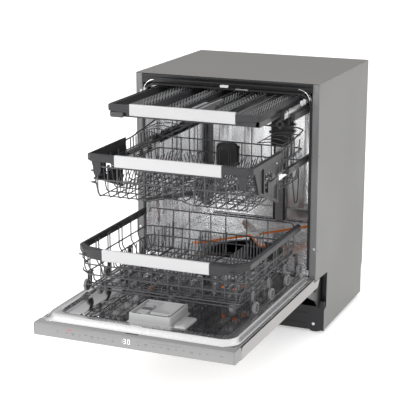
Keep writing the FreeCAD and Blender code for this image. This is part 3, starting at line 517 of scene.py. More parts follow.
# ---------------------------------------------------------------- water parts
def arm_blade(z0, z1, hub_y, angle, reach, root, tip, inset=0.0):
    """Outline of one spray arm blade at two heights."""
    a = math.radians(angle)
    along = Vector((math.cos(a), math.sin(a)))
    across = Vector((-along.y, along.x))
    centre = Vector((0, hub_y))
    tip -= inset
    pts = [centre + across * -(root - inset), centre + along * (reach - tip) + across * -tip]
    for k in range(1, 8):
        t = math.radians(-90 + 180 * k / 8)
        pts.append(centre + along * (reach - tip + (tip) * math.cos(t)) + across * (tip * math.sin(t)))
    pts += [centre + along * (reach - tip) + across * tip, centre + across * (root - inset)]
    return [[(p.x, p.y, z0) for p in pts], [(p.x, p.y, z1) for p in pts]]


def spray_arm(name, node, body, z0, z1, hub_y, long_reach, short_reach, look, accent):
    """Blades, hub and nozzles of one spray arm, with its coloured seam strip."""
    strip, top = Shape(), Shape()
    seam = z0 + (z1 - z0) * 0.74
    for angle, reach in zip(ARM_ANGLES, (long_reach, long_reach, short_reach, short_reach)):
        low = arm_blade(z0 + 0.6, seam, hub_y, angle, reach, 15.4, 11.4)
        strip.loft(low)
        high = arm_blade(seam + 0.05, z1, hub_y, angle, reach - 1.5, 14, 10)
        inner = arm_blade(z1, z1 + 0.01, hub_y, angle, reach - 1.5, 14, 10, 2.5)[1]
        top.loft([high[0], [(x, y, z1 - 2) for x, y, _ in high[1]], inner])
        a = math.radians(angle)
        for k in range(4):
            d = reach * (0.32 + 0.19 * k)
            spot = (d * math.cos(a), hub_y + d * math.sin(a), z1)
            strip.turn([(3.2, -0.6), (3.2, 0.5), (2.2, 1.3), (0.9, 1.3), (0.8, 0.4), (0.1, 0.4)], spot, "z",
                       14)
    top.turn([(24, z0 + 0.8), (24, z1 - 1), (20, z1 + 1.0), (9, z1 + 1.6), (8.5, z1 + 1.6), (8.3, z0 + 1)],
             (0, hub_y, 0), "z", 36)
    strip.done(name + "_strips", accent, body, 0.4, "spray_arm")
    top.done(name, look, body, 0.5, "spray_arm", [node])


def water_parts():
    """Spray arms, and the rings and surround at the filter."""
    spray_arm("lower_arm_blades", "lower_spray_arm", "lower_arm", 252.8, 263.0, 255, 222, 150,
              "arm", "orange")
    spray_arm("middle_arm_blades", "middle_spray_arm", "middle_arm", 498.4, 506.6, -190, 190, 130,
              "dark_soft", "black")
    spray_arm("ceiling_arm_blades", "ceiling_spray_arm", "ceiling_arm", 779.4, 785.0, 255, 150, 110,
              "dark_soft", "dark_soft")
    rings = Shape()
    for r in (104, 88, 72, 56):
        rings.turn([(r, 211.1), (r, 212.6), (r - 1.2, 213.0), (r - 3, 213.0), (r - 4, 212.6), (r - 4, 211.1)],
                   (0, SUMP_Y, 0), "z", 48)
    rings.done("filter_rings", "sump", "cabinet", 0, "filter_mesh")
    surround = Shape()
    surround.turn([(129, 0.1), (127, 3.4), (106, 5.5), (104.4, 5.5), (104.4, 0.1)], (0, SUMP_Y, TUB_FLOOR),
                  "z", 60)
    surround.done("sump_surround", "sump", "cabinet", 0, "filter_mesh")


# ---------------------------------------------------------------- door
LEGEND_Y = (-672.0, -671.6)                  # marks stand a little proud of the strip's face
DIGITS = {"3": "abgcd", "0": "abcdef"}


def digit(shape, char, x, z, height):
    """Seven-segment figure on the strip's face."""
    w, h, t = height * 0.5, height / 2, height * 0.085
    bars = {"a": (x, x + w, z + 2 * h - t, z + 2 * h), "g": (x, x + w, z + h - t / 2, z + h + t / 2),
            "d": (x, x + w, z, z + t), "f": (x, x + t, z + h, z + 2 * h),
            "b": (x + w - t, x + w, z + h, z + 2 * h),
            "e": (x, x + t, z, z + h), "c": (x + w - t, x + w, z, z + h)}
    for key in DIGITS[char]:
        x0, x1, z0, z1 = bars[key]
        shape.prism([(x0, z0), (x1, z0), (x1, z1), (x0, z1)], "y", *LEGEND_Y)


def door():
    """Inner door, control strip, dispenser and latch."""
    def ring(half, front, rear, r, z):
        return level(z, -half, half, front, rear, r, 10)

    liner = Shape()
    liner.loft([
        ring(296.4, -648.0, -6.5, 30, 218.5),
        ring(296.4, -648.0, -6.5, 30, 219.2),
        ring(291.0, -649.4, -6.8, 44, 219.4),
        ring(288.6, -647.6, -7.2, 46, 220.6),
        ring(286.0, -644.0, -8.0, 46, 224.6),
        ring(282.6, -638.6, -9.0, 44, 230.6),
        ring(279.6, -634.6, -10.2, 42, 233.6),
        ring(276.0, -630.0, -12.0, 40, 234.5),
        ring(261.0, -613.0, -15.0, 36, 234.5),
        ring(257.0, -608.5, -17.0, 34, 233.8),
        ring(254.0, -605.0, -19.0, 33, 231.8),
        ring(250.6, -601.2, -21.5, 31, 227.6),
        ring(248.4, -598.6, -23.0, 30, 226.3),
    ], True, False)
    liner.done("inner_door", "liner", "door", 0, "liner_steel", ["door_liner"], smooth=45)
    # Recess floor in the darker copy of the liner steel: painted dark reflection
    floor = Shape()
    floor.loft([ring(250.4, -600.2, -21.2, 29, 225.2), ring(250.4, -600.2, -21.2, 29, 226.2)])
    floor.loft([level(226.1, -240, -150, -590, -60, 16, 5), level(227.3, -237, -153, -587, -63, 13, 5)])
    floor.loft([level(226.1, -146, -141, -585, -62, 2.4, 3),
                level(228.0, -145, -142, -584, -63, 1.4, 3)])
    floor.done("inner_door_recess", "mirror", "door", 0, "liner_steel", smooth=40)

    strip = Shape()
    profile = [(-624.2, 181.7), (-669.5, 181.7), (-671.6, 183.4), (-671.8, 185), (-671.8, 214.5),
               (-670.6, 217.4),
               (-668.5, 218.4), (-632.0, 218.4), (-632.0, 216.6), (-624.2, 216.6)]
    strip.prism(profile, "x", -296.4, 296.4)
    strip.done("strip_body", "strip", "door", 0.5, "strip", ["control_strip"])
    caps = Shape()
    caps.prism([(y, z) for y, z in profile], "x", 296.8, 298.9)
    caps.both().done("strip_end_caps", "strip", "door", 0.5, "strip")
    slot_cut = Shape()
    slot_cut.prism(round_rect(-26, 12, -655, -642, 2, 3), "z", 218.3, 218.9)
    slot_cut.done("latch_slot", "black", "door", 0.2, "strip")
    latch = Shape()
    latch.prism([(-641.5, 218.6), (-634.5, 218.6), (-628.0, 234.8), (-631.5, 234.8)], "x", -23, 12)
    latch.prism([(-640.3, 222.0), (-636.0, 222.0), (-634.0, 229.0), (-637.8, 229.0)], "x", -17, -9)
    latch.prism([(-640.3, 222.0), (-636.0, 222.0), (-634.0, 229.0), (-637.8, 229.0)], "x", -5, 7)
    latch.done("latch_plate", "zinc", "door", 0.5, "striker", ["door_latch"])

    ink, lit = Shape(), Shape()
    marks = [-224, -196, -176, -156, -137, -118, -99, -80, 44, 66, 88, 110, 132, 153, 176, 200, 222, 262]
    for i, x in enumerate(marks):
        w = 5.5 + 2.5 * ((i * 7) % 3)
        z = 200.5 if i % 4 else 202.0
        ink.prism(round_rect(x - w / 2, x + w / 2, z, z + 1.5, 0.7, 2), "y", *LEGEND_Y)
        if i % 3 != 1 and x < 240:
            ink.prism(round_rect(x - w / 3, x + w / 3, z - 4.0, z - 2.8, 0.5, 2), "y", *LEGEND_Y)
    for x in (-55, 22):
        ink.prism(round_rect(x - 2.2, x + 2.2, 196.2, 198.6, 0.8, 2), "y", *LEGEND_Y)
        ink.prism(round_rect(x - 1.2, x + 1.2, 204.4, 206.0, 0.6, 2), "y", *LEGEND_Y)
    ink.prism(round_rect(52, 146, 209.2, 209.8, 0.2, 2), "y", *LEGEND_Y)
    ink.done("touch_key_marks", "legend", "door", 0)
    for char, x in (("3", -23), ("0", -11)):
        digit(lit, char, x, 195.5, 13.5)
    for z in (198.5, 204.5):
        lit.prism(round_rect(-27.5, -25.9, z, z + 1.6, 0.5, 2), "y", *LEGEND_Y)
    lit.done("display_segments", "lit", "door", 0)
    red = Shape()
    red.prism(round_rect(-196, -180, 208.6, 210.4, 0.8, 2), "y", *LEGEND_Y)
    red.done("power_mark", "red", "door", 0)

    box_piece = Shape()
    top = 255.0
    outer = round_rect(-46.5, 79.5, -591.5, -467.5, 6, 5)
    box_piece.loft([level(226.4, -53.5, 84, -598, -461, 9, 5),
                    level(228.6, -52.5, 83, -597, -462, 8, 5),
                    level(229.4, -47.5, 80.5, -592.5, -466.5, 6, 5),
                    [(x, y, top - 1.8) for x, y in outer],
                    level(top, -44.7, 77.7, -589.7, -469.3, 5, 5),
                    level(top, -41.2, 74.2, -586, -473, 4, 5),
                    level(top - 8.5, -40.2, 73.2, -585, -474, 4, 5)])
    box_piece.slab(9.2, 11.8, -585, -474, top - 9, top - 0.2)
    box_piece.slab(-38, 8, -500, -475, top - 9, top - 3)
    box_piece.prism(round_rect(-34, -2, -574, -540, 6, 4), "z", top - 9, top - 4.5)
    box_piece.slab(62, 73, -585, -474, top - 9, top - 1)
    box_piece.slab(12, 62, -490, -474, top - 9, top - 1)
    box_piece.done("dispenser_housing", "dispenser", "door", 0.7, "dispenser", ["dispenser_body"])
    flap = Shape()
    flap.prism([(-586, 226.6), (-498, 226.6), (-508, 233.5), (-576, 233.5)], "x", 84.5, 90)
    flap.loft([level(226.5, 86, 121, -586, -499, 5, 4),
               level(231.5, 88, 118, -583, -503, 4, 4),
               level(232.6, 90, 116, -581, -505, 3, 4)])
    flap.done("dispenser_side_flap", "dispenser", "door", 0.5, "dispenser")
    lever = Shape()
    lever.prism([(-32, -537), (-12, -531), (4, -536), (4, -529), (-12, -523), (-32, -529)], "z", top - 8.5,
                top - 2.5)
    lever.prism([(-37, -590.0), (-8, -590.0), (-10, -586), (-35, -586)], "z", top - 6, top + 0.8)
    lever.done("dispenser_lever", "recess", "door", 0.6, "dispenser")
    notches = Shape()
    for x in (-186, -171, -157, -146):
        notches.prism(round_rect(x - 2.6, x + 2.6, -606, -599.6, 1.2, 3), "z", 231.5, 234.7)
    notches.prism(round_rect(-81.5, -77.5, -606, -597, 1.6, 3), "z", 228.5, 235.2)
    notches.prism(round_rect(-132, -104, -600, -590, 2, 3), "z", 226.2, 228.4)
    notches.done("vent_slots", "black", "door", 0.3)
    lid = Shape()
    lid.loft([level(255.6, 12.4, 73.6, -577.5, -488.5, 4, 5),
              level(258.4, 12.4, 73.6, -577.5, -488.5, 4, 5),
              level(259.4, 13.6, 72.4, -576.3, -489.7, 3, 5),
              level(259.4, 17, 69, -566, -493, 3, 5),
              level(258.7, 18, 68, -565, -494, 3, 5)])
    lid.prism(round_rect(16, 70, -584.5, -576, 2, 3), "z", 255.6, 258.6)
    lid.turn([(2.4, -30.5), (2.4, 30.5)], (43, -486, 258.2), "x", 16)
    lid.done("dispenser_flap", "dispenser", "lid", 0.5, "dispenser", ["dispenser_lid"])
    cap = Shape()
    cap.turn([(12.5, 240.3), (12.5, 249.5), (11.6, 250.8), (0.2, 250.8)], (-16, -510, 0), "z", 32)
    cap.prism(round_rect(-26, -6, -512, -508, 1.8, 4), "z", 250.6, 254.8)
    cap.done("rinse_cap_knob", "cap", "rinse_cap", 0.5, "rinse_cap", ["rinse_aid_cap"])


# ---------------------------------------------------------------- shared rack pieces
def handle(name, node, body, y, z):
    """Bright front bar with eased edges and a fine lip along its top."""
    bar = Shape()
    section = [(y + 9.8, z + 0.2), (y + 1.4, z + 0.2), (y + 0.2, z + 1.6), (y, z + 6), (y, z + 29),
               (y + 0.4, z + 32), (y + 1.6, z + 33.8), (y + 9.8, z + 33.8)]
    bar.prism(section, "x", -162.3, 162.3)
    bar.done(name, "bar", body, 0.8, "handle_bar", [node], 3)


def tine_row(x, ys, z, height, lean=4.0):
    """Base rod and the tines that rise from it, each leaning a little."""
    paths = [[(x, ys[0] - 5, z), (x, ys[-1] + 5, z)]]
    for y in ys:
        paths.append([(x, y, z), (x, y + lean * 0.3, z + height * 0.5), (x, y + lean, z + height)])
    return paths


# ---------------------------------------------------------------- lower rack
def lower_rack():
    """Formed wire basket, dark rim, tine rows, wheels and carriers."""
    body = "lower_rack"
    half, front, back = 248, -475, -38.5
    loops = []
    for z, out in ((337, 0), (307, -6)):
        loops.append(level(z, -half - out, half + out, front, back, 22, 3))
    wires("lower_basket_rings", loops, "wire", body, 2.2, 1, ["lower_basket_walls"], True)
    cross = []
    for y in (-462, -441, -389, -372, -313, -300, -240, -219, -158, -108, -62):
        cross.append([(-half, y, 388), (-half, y, 322), (-half + 18, y, 296), (-half + 18, y, 278),
                      (half - 18, y, 278), (half - 18, y, 296), (half, y, 322), (half, y, 388)])
    wires("lower_cross_wires", cross, "wire", body, 2.0, 9, ["lower_basket_floor"])
    length = []
    tall = (-157, -102, -31, 19, 88, 157)
    for x in (-224, -190, -157, -128, -102, -66, -31, 19, 54, 88, 124, 157, 190, 224):
        rear = 395 if x in tall else 338
        length.append([(x, front + 1, 352), (x, front + 1, 292), (x, front + 14, 274), (x, back - 14, 274),
                       (x, back - 1, 292), (x, back - 1, rear)])
    wires("lower_length_wires", length, "wire", body, 1.9, 9)
    extra = [
        [(-half + 8, back - 1, 382), (-half + 12, back - 1, 395), (half - 12, back - 1, 395),
         (half - 8, back - 1, 382)],
        [(-236, front + 1, 276), (236, front + 1, 276)],
        [(-226, front + 8, 264), (226, front + 8, 264)],
    ]
    for side in (-1, 1):
        extra.append([(side * 226, -462, 264), (side * 226, -60, 264)])
        extra.append([(side * half, -470, 360), (side * (half + 10), -455, 350),
                      (side * (half + 2), -440, 330)])
        extra.append([(side * half, -470, 322), (side * (half + 10), -455, 312),
                      (side * (half - 4), -438, 292)])
    wires("lower_tie_wires", extra, "wire", body, 2.2, 6)

    ys = span(-429, -64.5, 15)
    wires("fixed_tines", tine_row(-30, ys, 280.4, 68, 8) + tine_row(30, ys, 280.4, 68, 8), "wire", body,
          1.8, 5, ["lower_tines_fixed"])
    short = [y - 13 for y in ys]
    wires("short_tines", tine_row(-92, short, 277.4, 38, 5) + tine_row(92, short, 277.4, 38, -5)
          + tine_row(205, short, 277.4, 30, 4), "wire", body, 1.6, 4)
    wires("folding_tines_left", tine_row(-150, ys, 282, 83, 3), "wire", "tines_left", 1.8, 5,
          ["lower_tines_left"])
    wires("folding_tines_right", tine_row(150, ys, 282, 83, 3), "wire", "tines_right", 1.8, 5,
          ["lower_tines_right"])
    clips = Shape()
    for x in (-150, 150):
        for y in (-420, -300, -180, -75):
            clips.loft([[(x + u, v, 279.6) for u, v in round_rect(-7, 7, y - 5, y + 5, 2, 3)],
                        [(x + u, v, 285) for u, v in round_rect(-5, 5, y - 4, y + 4, 2, 3)]])
    clips.done("tine_pivot_clips", "dark", body, 0.4, "rack_plastic")

    rim = Shape()
    path = [((249.6, -38.6), (261.6, -38.6)), ((249.6, -250), (261.6, -250)), ((249.6, -456), (261.6, -463)),
            ((222, -486), (228, -506)), ((190, -497), (194, -517)), ((163, -505), (163, -519))]
    rings = []
    tops = (395.3, 395.3, 395.3, 397, 398.6, 399)
    lows = (374.2, 374.2, 374.2, 371, 368, 366.5)
    for (inner, outer), low, high in zip(path, lows, tops):
        mid = ((inner[0] + outer[0]) / 2, (inner[1] + outer[1]) / 2)
        rings.append([(*inner, low), (*outer, low), (*outer, high - 5), (*mid, high), (*inner, high - 1)])
    rim.loft(rings)
    under = [(163.2, 352), (166, 356), (176, 366), (190, 371.5), (206, 373.5), (240, 374), (240, 378),
             (163.2, 378)]
    rim.prism(under, "y", -510, -506.5)
    rim.both().done("lower_rim_rail", "dark", body, 1.6, "rack_plastic", ["lower_rim"], 3)
    handle("lower_bar", "lower_handle_bar", body, -520, 365.5)

    carriers = Shape()
    for y in WHEEL_Y:
        outline = [(y - 12, 300), (y - 12, 268), (y - 7, 250), (y + 7, 250), (y + 12, 268), (y + 12, 300),
                   (y, 304)]
        carriers.prism(outline, "x", 251.2, 254)
        carriers.prism(round_rect(y - 9, y + 9, 296, 301, 2, 3), "x", 244, 253)
        carriers.turn([(3, 253), (3, 268.6), (4.4, 268.6), (4.4, 269), (0.1, 269)], (0, y, AXLE_Z), "x", 16)
    carriers.both().done("wheel_carriers", "dark_soft", body, 0.5, "rack_plastic", ["lower_wheel_carriers"])
    for index, y in enumerate(WHEEL_Y):
        wheel = Shape()
        centre = (0, y, AXLE_Z)
        wheel.turn([(12.2, 257.4), (16.2, 257.4), (17, 258.4), (17, 265.6), (16.2, 266.6), (12.6, 266.6),
                    (12.2, 264),
                    (12.2, 259)], centre, "x", 36)
        wheel.turn([(12.4, 260.6), (6, 260.6), (6, 263.0), (12.4, 263.0)], centre, "x", 36)
        wheel.turn([(3.4, 257.6), (6.2, 257.6), (6.2, 266.2), (3.4, 266.2)], centre, "x", 24)
        for k in range(6):
            a = math.radians(60 * k)
            u, v = math.cos(a), math.sin(a)
            wheel.loft([[(x, y + d * u - s * v, AXLE_Z + d * v + s * u)
                         for d, s in ((5.8, -1), (12.4, -1), (12.4, 1), (5.8, 1))] for x in (259.4, 264.6)])
        wheel.both().done("rolling_wheels_%d" % (index + 1), "wheel", "wheels_%d" % (index + 1), 0.3, "wheel",
                          ["lower_wheels_%d" % (index + 1)])
    front_rollers = Shape()
    for x in (-205, 20, 205):
        front_rollers.turn([(2.5, -6), (11, -6), (12, -5), (12, 5), (11, 6), (2.5, 6)], (x, -452, 256), "x",
                           24)
        front_rollers.prism([(-458, 256), (-446, 256), (-448, 276), (-456, 276)], "x", x + 7, x + 9.5)
    front_rollers.done("front_rollers", "wheel", body, 0.4, "rack_plastic")
    tabs = Shape()
    for x, y in ((128, -330), (168, -342), (180, -300), (-60, -420)):
        tabs.turn([(5.4, 268), (5.4, 272), (3, 273), (0.1, 273)], (x, y, 0), "z", 14)
    tabs.done("tine_release_tabs", "orange", body, 0.3)


# ---------------------------------------------------------------- middle rack
def middle_rack():
    """Formed wire basket, dark frame with side plates, docking block, cup shelves, levers and inner rails."""
    body = "middle_rack"
    half, front, back = 240, -419.5, 30
    loops = []
    for z in (612, 574):
        loops.append(level(z, -half, half, front, back, 16, 3))
    wires("middle_basket_rings", loops, "wire", body, 2.1, 1, ["middle_basket_walls"], True)
    rear = [(-half - 3, -200, 641), (-half - 1.2, -150, 645), (-half - 1.2, back - 1, 668),
            (-half + 14, back - 1, 672),
            (-42, back - 1, 673), (-30, back - 1, 666), (34, back - 1, 666), (46, back - 1, 673),
            (half - 14, back - 1, 674), (half + 1.2, back - 1, 668), (half + 1.2, -150, 645),
            (half + 3, -200, 641)]
    wires("middle_rear_wire", [rear], "wire", body, 2.2, 5)
    cross = []
    for y in (-404, -352, -300, -250, -200, -150, -100, -50, 0):
        top = 628 if y < -195 else 645
        cross.append([(-half, y, top), (-half + 4, y, 566), (-half + 12, y, 524), (-60, y, 524),
                      (-30, y, 534),
                      (30, y, 534), (60, y, 524), (half - 12, y, 524), (half - 4, y, 566), (half, y, top)])
    wires("middle_cross_wires", cross, "wire", body, 1.9, 8, ["middle_basket_floor"])
    length = []
    for x in (-222, -190, -160, -132, -104, -76, -48, -20, 12, 44, 76, 108, 140, 172, 204, 228):
        top = 672 if x in (-190, -132, -76, 76, 140, 204) else 612
        lift = 534 if abs(x) < 50 else 521
        length.append([(x, front + 1, 612), (x, front + 1, 545), (x, front + 12, lift), (x, back - 12, lift),
                       (x, back - 1, 545), (x, back - 1, top)])
    wires("middle_length_wires", length, "wire", body, 1.8, 8)

    ends = []
    for side in (-1, 1):
        for z in (600, 566):
            ends.append([(side * (half - 8), -415, z), (side * (half + 9), -408, z - 4),
                         (side * (half - 2), -392, z - 12)])
    wires("middle_wire_ends", ends, "wire", body, 2.0, 3)

    rows = []
    for x, lean in ((-178, 6), (-150, 6), (-96, -6), (-60, -6), (64, 6), (100, 6), (150, -6), (186, -6)):
        ys = span(-392, -18, 17)
        for y in ys:
            rows.append([(x, y, 526), (x + lean, y, 560), (x + lean * 2.4, y + 2, 584)])
        rows.append([(x, -398, 527), (x, -12, 527)])
    wires("middle_tines", rows, "wire", body, 1.5, 6)
    waves = []
    for x0 in (-30, 20):
        pts = []
        for k, y in enumerate(span(-396, -30, 27)):
            pts.append((x0, y, 538 + (24 if k % 2 else 0)))
        waves.append(pts)
    wires("middle_wave_rows", waves, "wire", body, 1.6, 5)

    frame_piece = Shape()
    path = [((243.2, -190), (251.8, -190)), ((243.2, -300), (251.8, -300)), ((243.2, -418), (251.8, -421)),
            ((236, -425.2), (240, -430.5)), ((200, -425.6), (203, -432)), ((163, -425.6), (163, -432))]
    tops = (650.6, 650.6, 650.6, 650.6, 650.9, 651)
    lows = (630.4, 630.4, 630.4, 629, 628, 627)
    rings = []
    for (inner, outer), low, high in zip(path, lows, tops):
        rings.append([(*inner, low), (*outer, low), (*outer, high - 3), (*outer, high - 3), (*inner, high)])
    frame_piece.loft(rings)
    under = [(163.2, 617.4), (165, 619), (171, 625), (180, 628.6), (190, 629.6), (190, 633), (163.2, 633)]
    frame_piece.prism(under, "y", -431.6, -426.5)
    leg = [(208, 632), (209, 600), (213, 588), (231, 588), (233, 600), (236, 632)]
    frame_piece.prism(leg, "y", -425, -422.4)
    front_part = [(-409, 634), (-372, 562), (-322, 545), (-322, 634)]
    rear_part = [(-258, 634), (-258, 522), (-212, 502), (-212, 574), (-190, 600), (-190, 634)]
    above = [(-322, 634), (-322, 607), (-258, 607), (-258, 634)]
    below = [(-322, 545), (-258, 522), (-258, 564), (-322, 566)]
    for outline in (front_part, rear_part, above, below):
        frame_piece.prism(outline, "x", 243.6, 246.0)
    frame_piece.prism([(-334, 634), (-334, 549), (-326, 546), (-326, 634)], "x", 245.9, 250.6)
    frame_piece.prism([(-372, 562), (-368, 571), (-214, 513), (-212, 502)], "x", 245.9, 249.8)
    frame_piece.prism([(-409, 634), (-372, 562), (-368, 564), (-404, 634)], "x", 245.9, 250.6)
    frame_piece.both().done("middle_frame_rail", "dark", body, 1.2, "rack_plastic", ["middle_frame"], 3)
    comb = Shape()
    for k in range(13):
        z = 508 + 5.2 * k
        comb.slab(246.0, 250.6, -228, -214, z, z + 2.8)
    comb.slab(245.9, 247.2, -232, -211, 505, 574)
    comb.both().done("height_rack_teeth", "dark_soft", body, 0.3, "rack_plastic")
    studs = Shape()
    studs.turn([(2.6, 250.0), (2.6, 251.9), (0.2, 252.0)], (0, -234, 624), "x", 16)
    studs.both().done("side_studs", "bright", body, 0.2, "rack_plastic")
    handle("middle_bar", "middle_handle_bar", body, -433, 617)

    block = Shape()
    face = [(-30, 540), (32, 540), (36, 560), (35, 597), (28, 608), (18, 612), (-18, 612), (-28, 608),
            (-33, 597),
            (-33, 548)]
    block.loft([[(x, 8, z) for x, z in face], [(x * 1.05, 14, z) for x, z in face],
                [(x * 1.05, 27, z) for x, z in face]])
    block.turn([(5, -8), (5, 2)], (38, 20, 600), "x", 16)
    block.turn([(5, -8), (5, 2)], (38, 20, 548), "x", 16)
    block.done("water_docking_block", "black", body, 1.5, "rack_plastic", segments=3)
    arch = []
    for reach in (15, 22):
        arch.append([(-6 - reach, 7, 544), (-6 - reach, 7, 580)]
                    + [(-6 - reach * math.cos(a), 7, 580 + reach * math.sin(a))
                       for a in (math.radians(d) for d in range(15, 180, 15))]
                    + [(-6 + reach, 7, 580), (-6 + reach, 7, 544)])
    wires("docking_arches", arch, "dark_soft", body, 1.8, 2)
    wires("middle_feed_pipe", [[(0, -190, 514), (0, -186, 517), (0, -160, 518), (0, -20, 518), (0, 6, 524),
                                (0, 14, 545)]],
          "black", body, 8.0, 10)

    for side, name in ((-1, "left"), (1, "right")):
        shelf = []
        for x in (235, 157):
            shelf.append([(side * x, -138, 655), (side * x, 20, 655)])
        for y in span(-134, 16, 4):
            shelf.append([(side * 235.5, y, 655.5), (side * 216, y, 655.5), (side * 206, y, 659),
                          (side * 190, y, 660),
                          (side * 168, y, 656), (side * 156, y, 655)])
        wires("cup_shelf_wires_" + name, shelf, "wire", "cup_" + name, 1.5, 12, ["cup_shelf_" + name])
    combs = Shape()
    for y in span(-180, -30, 9):
        outline = [(y - 3, 608), (y + 3, 608), (y + 3.2, 640), (y + 1.6, 649), (y, 650.6), (y - 1.6, 649),
                   (y - 3.2, 640)]
        combs.prism(outline, "x", 232.5, 234.5)
    combs.slab(231, 237.6, -184, -20, 600, 609)
    combs.both().done("side_cup_combs", "clear_grey", body, 0.9, "rack_plastic")

    levers = Shape()
    levers.prism([(-298, 562), (-218, 560), (-218, 580), (-298, 578)], "x", 246.7, 249.2)
    levers.prism([(-303.5, 554), (-294, 552.5), (-291, 570), (-294, 587.5), (-303.5, 586)], "x", 246.7, 251.8)
    levers.both().done("height_lever_pair", "black", "middle_carriage", 0.6, "rack_plastic",
                       ["height_levers"])
    inner = Shape()
    inner.loft([upright(y, 246.7, 254.8, 569.3, 588.7, 3.6, 4) for y in (-216, 59.6)])
    for y0, y1 in ((-222, -217.6), (-213, -209)):
        inner.loft([upright(y, 246.6, 255.0, 569.0, 589.0, 4, 4) for y in (y0, y1)])
    inner.turn([(2, 246.6), (9.4, 246.6), (9.4, 254.8), (7.6, 255.0), (2, 255.0)], (0, -204, 579), "x", 28)
    inner.both().done("middle_inner_rails", "bright", "middle_carriage", 0.5, "rail_steel")
    hooks = []
    for side in (-1, 1):
        hooks.append([(side * 243, -84, 596), (side * 243, -72, 540), (side * 243, -46, 458),
                      (side * 243, -22, 458),
                      (side * 243, -14, 530), (side * 243, -18, 596)])
    wires("side_loops", hooks, "black", body, 1.8, 16)


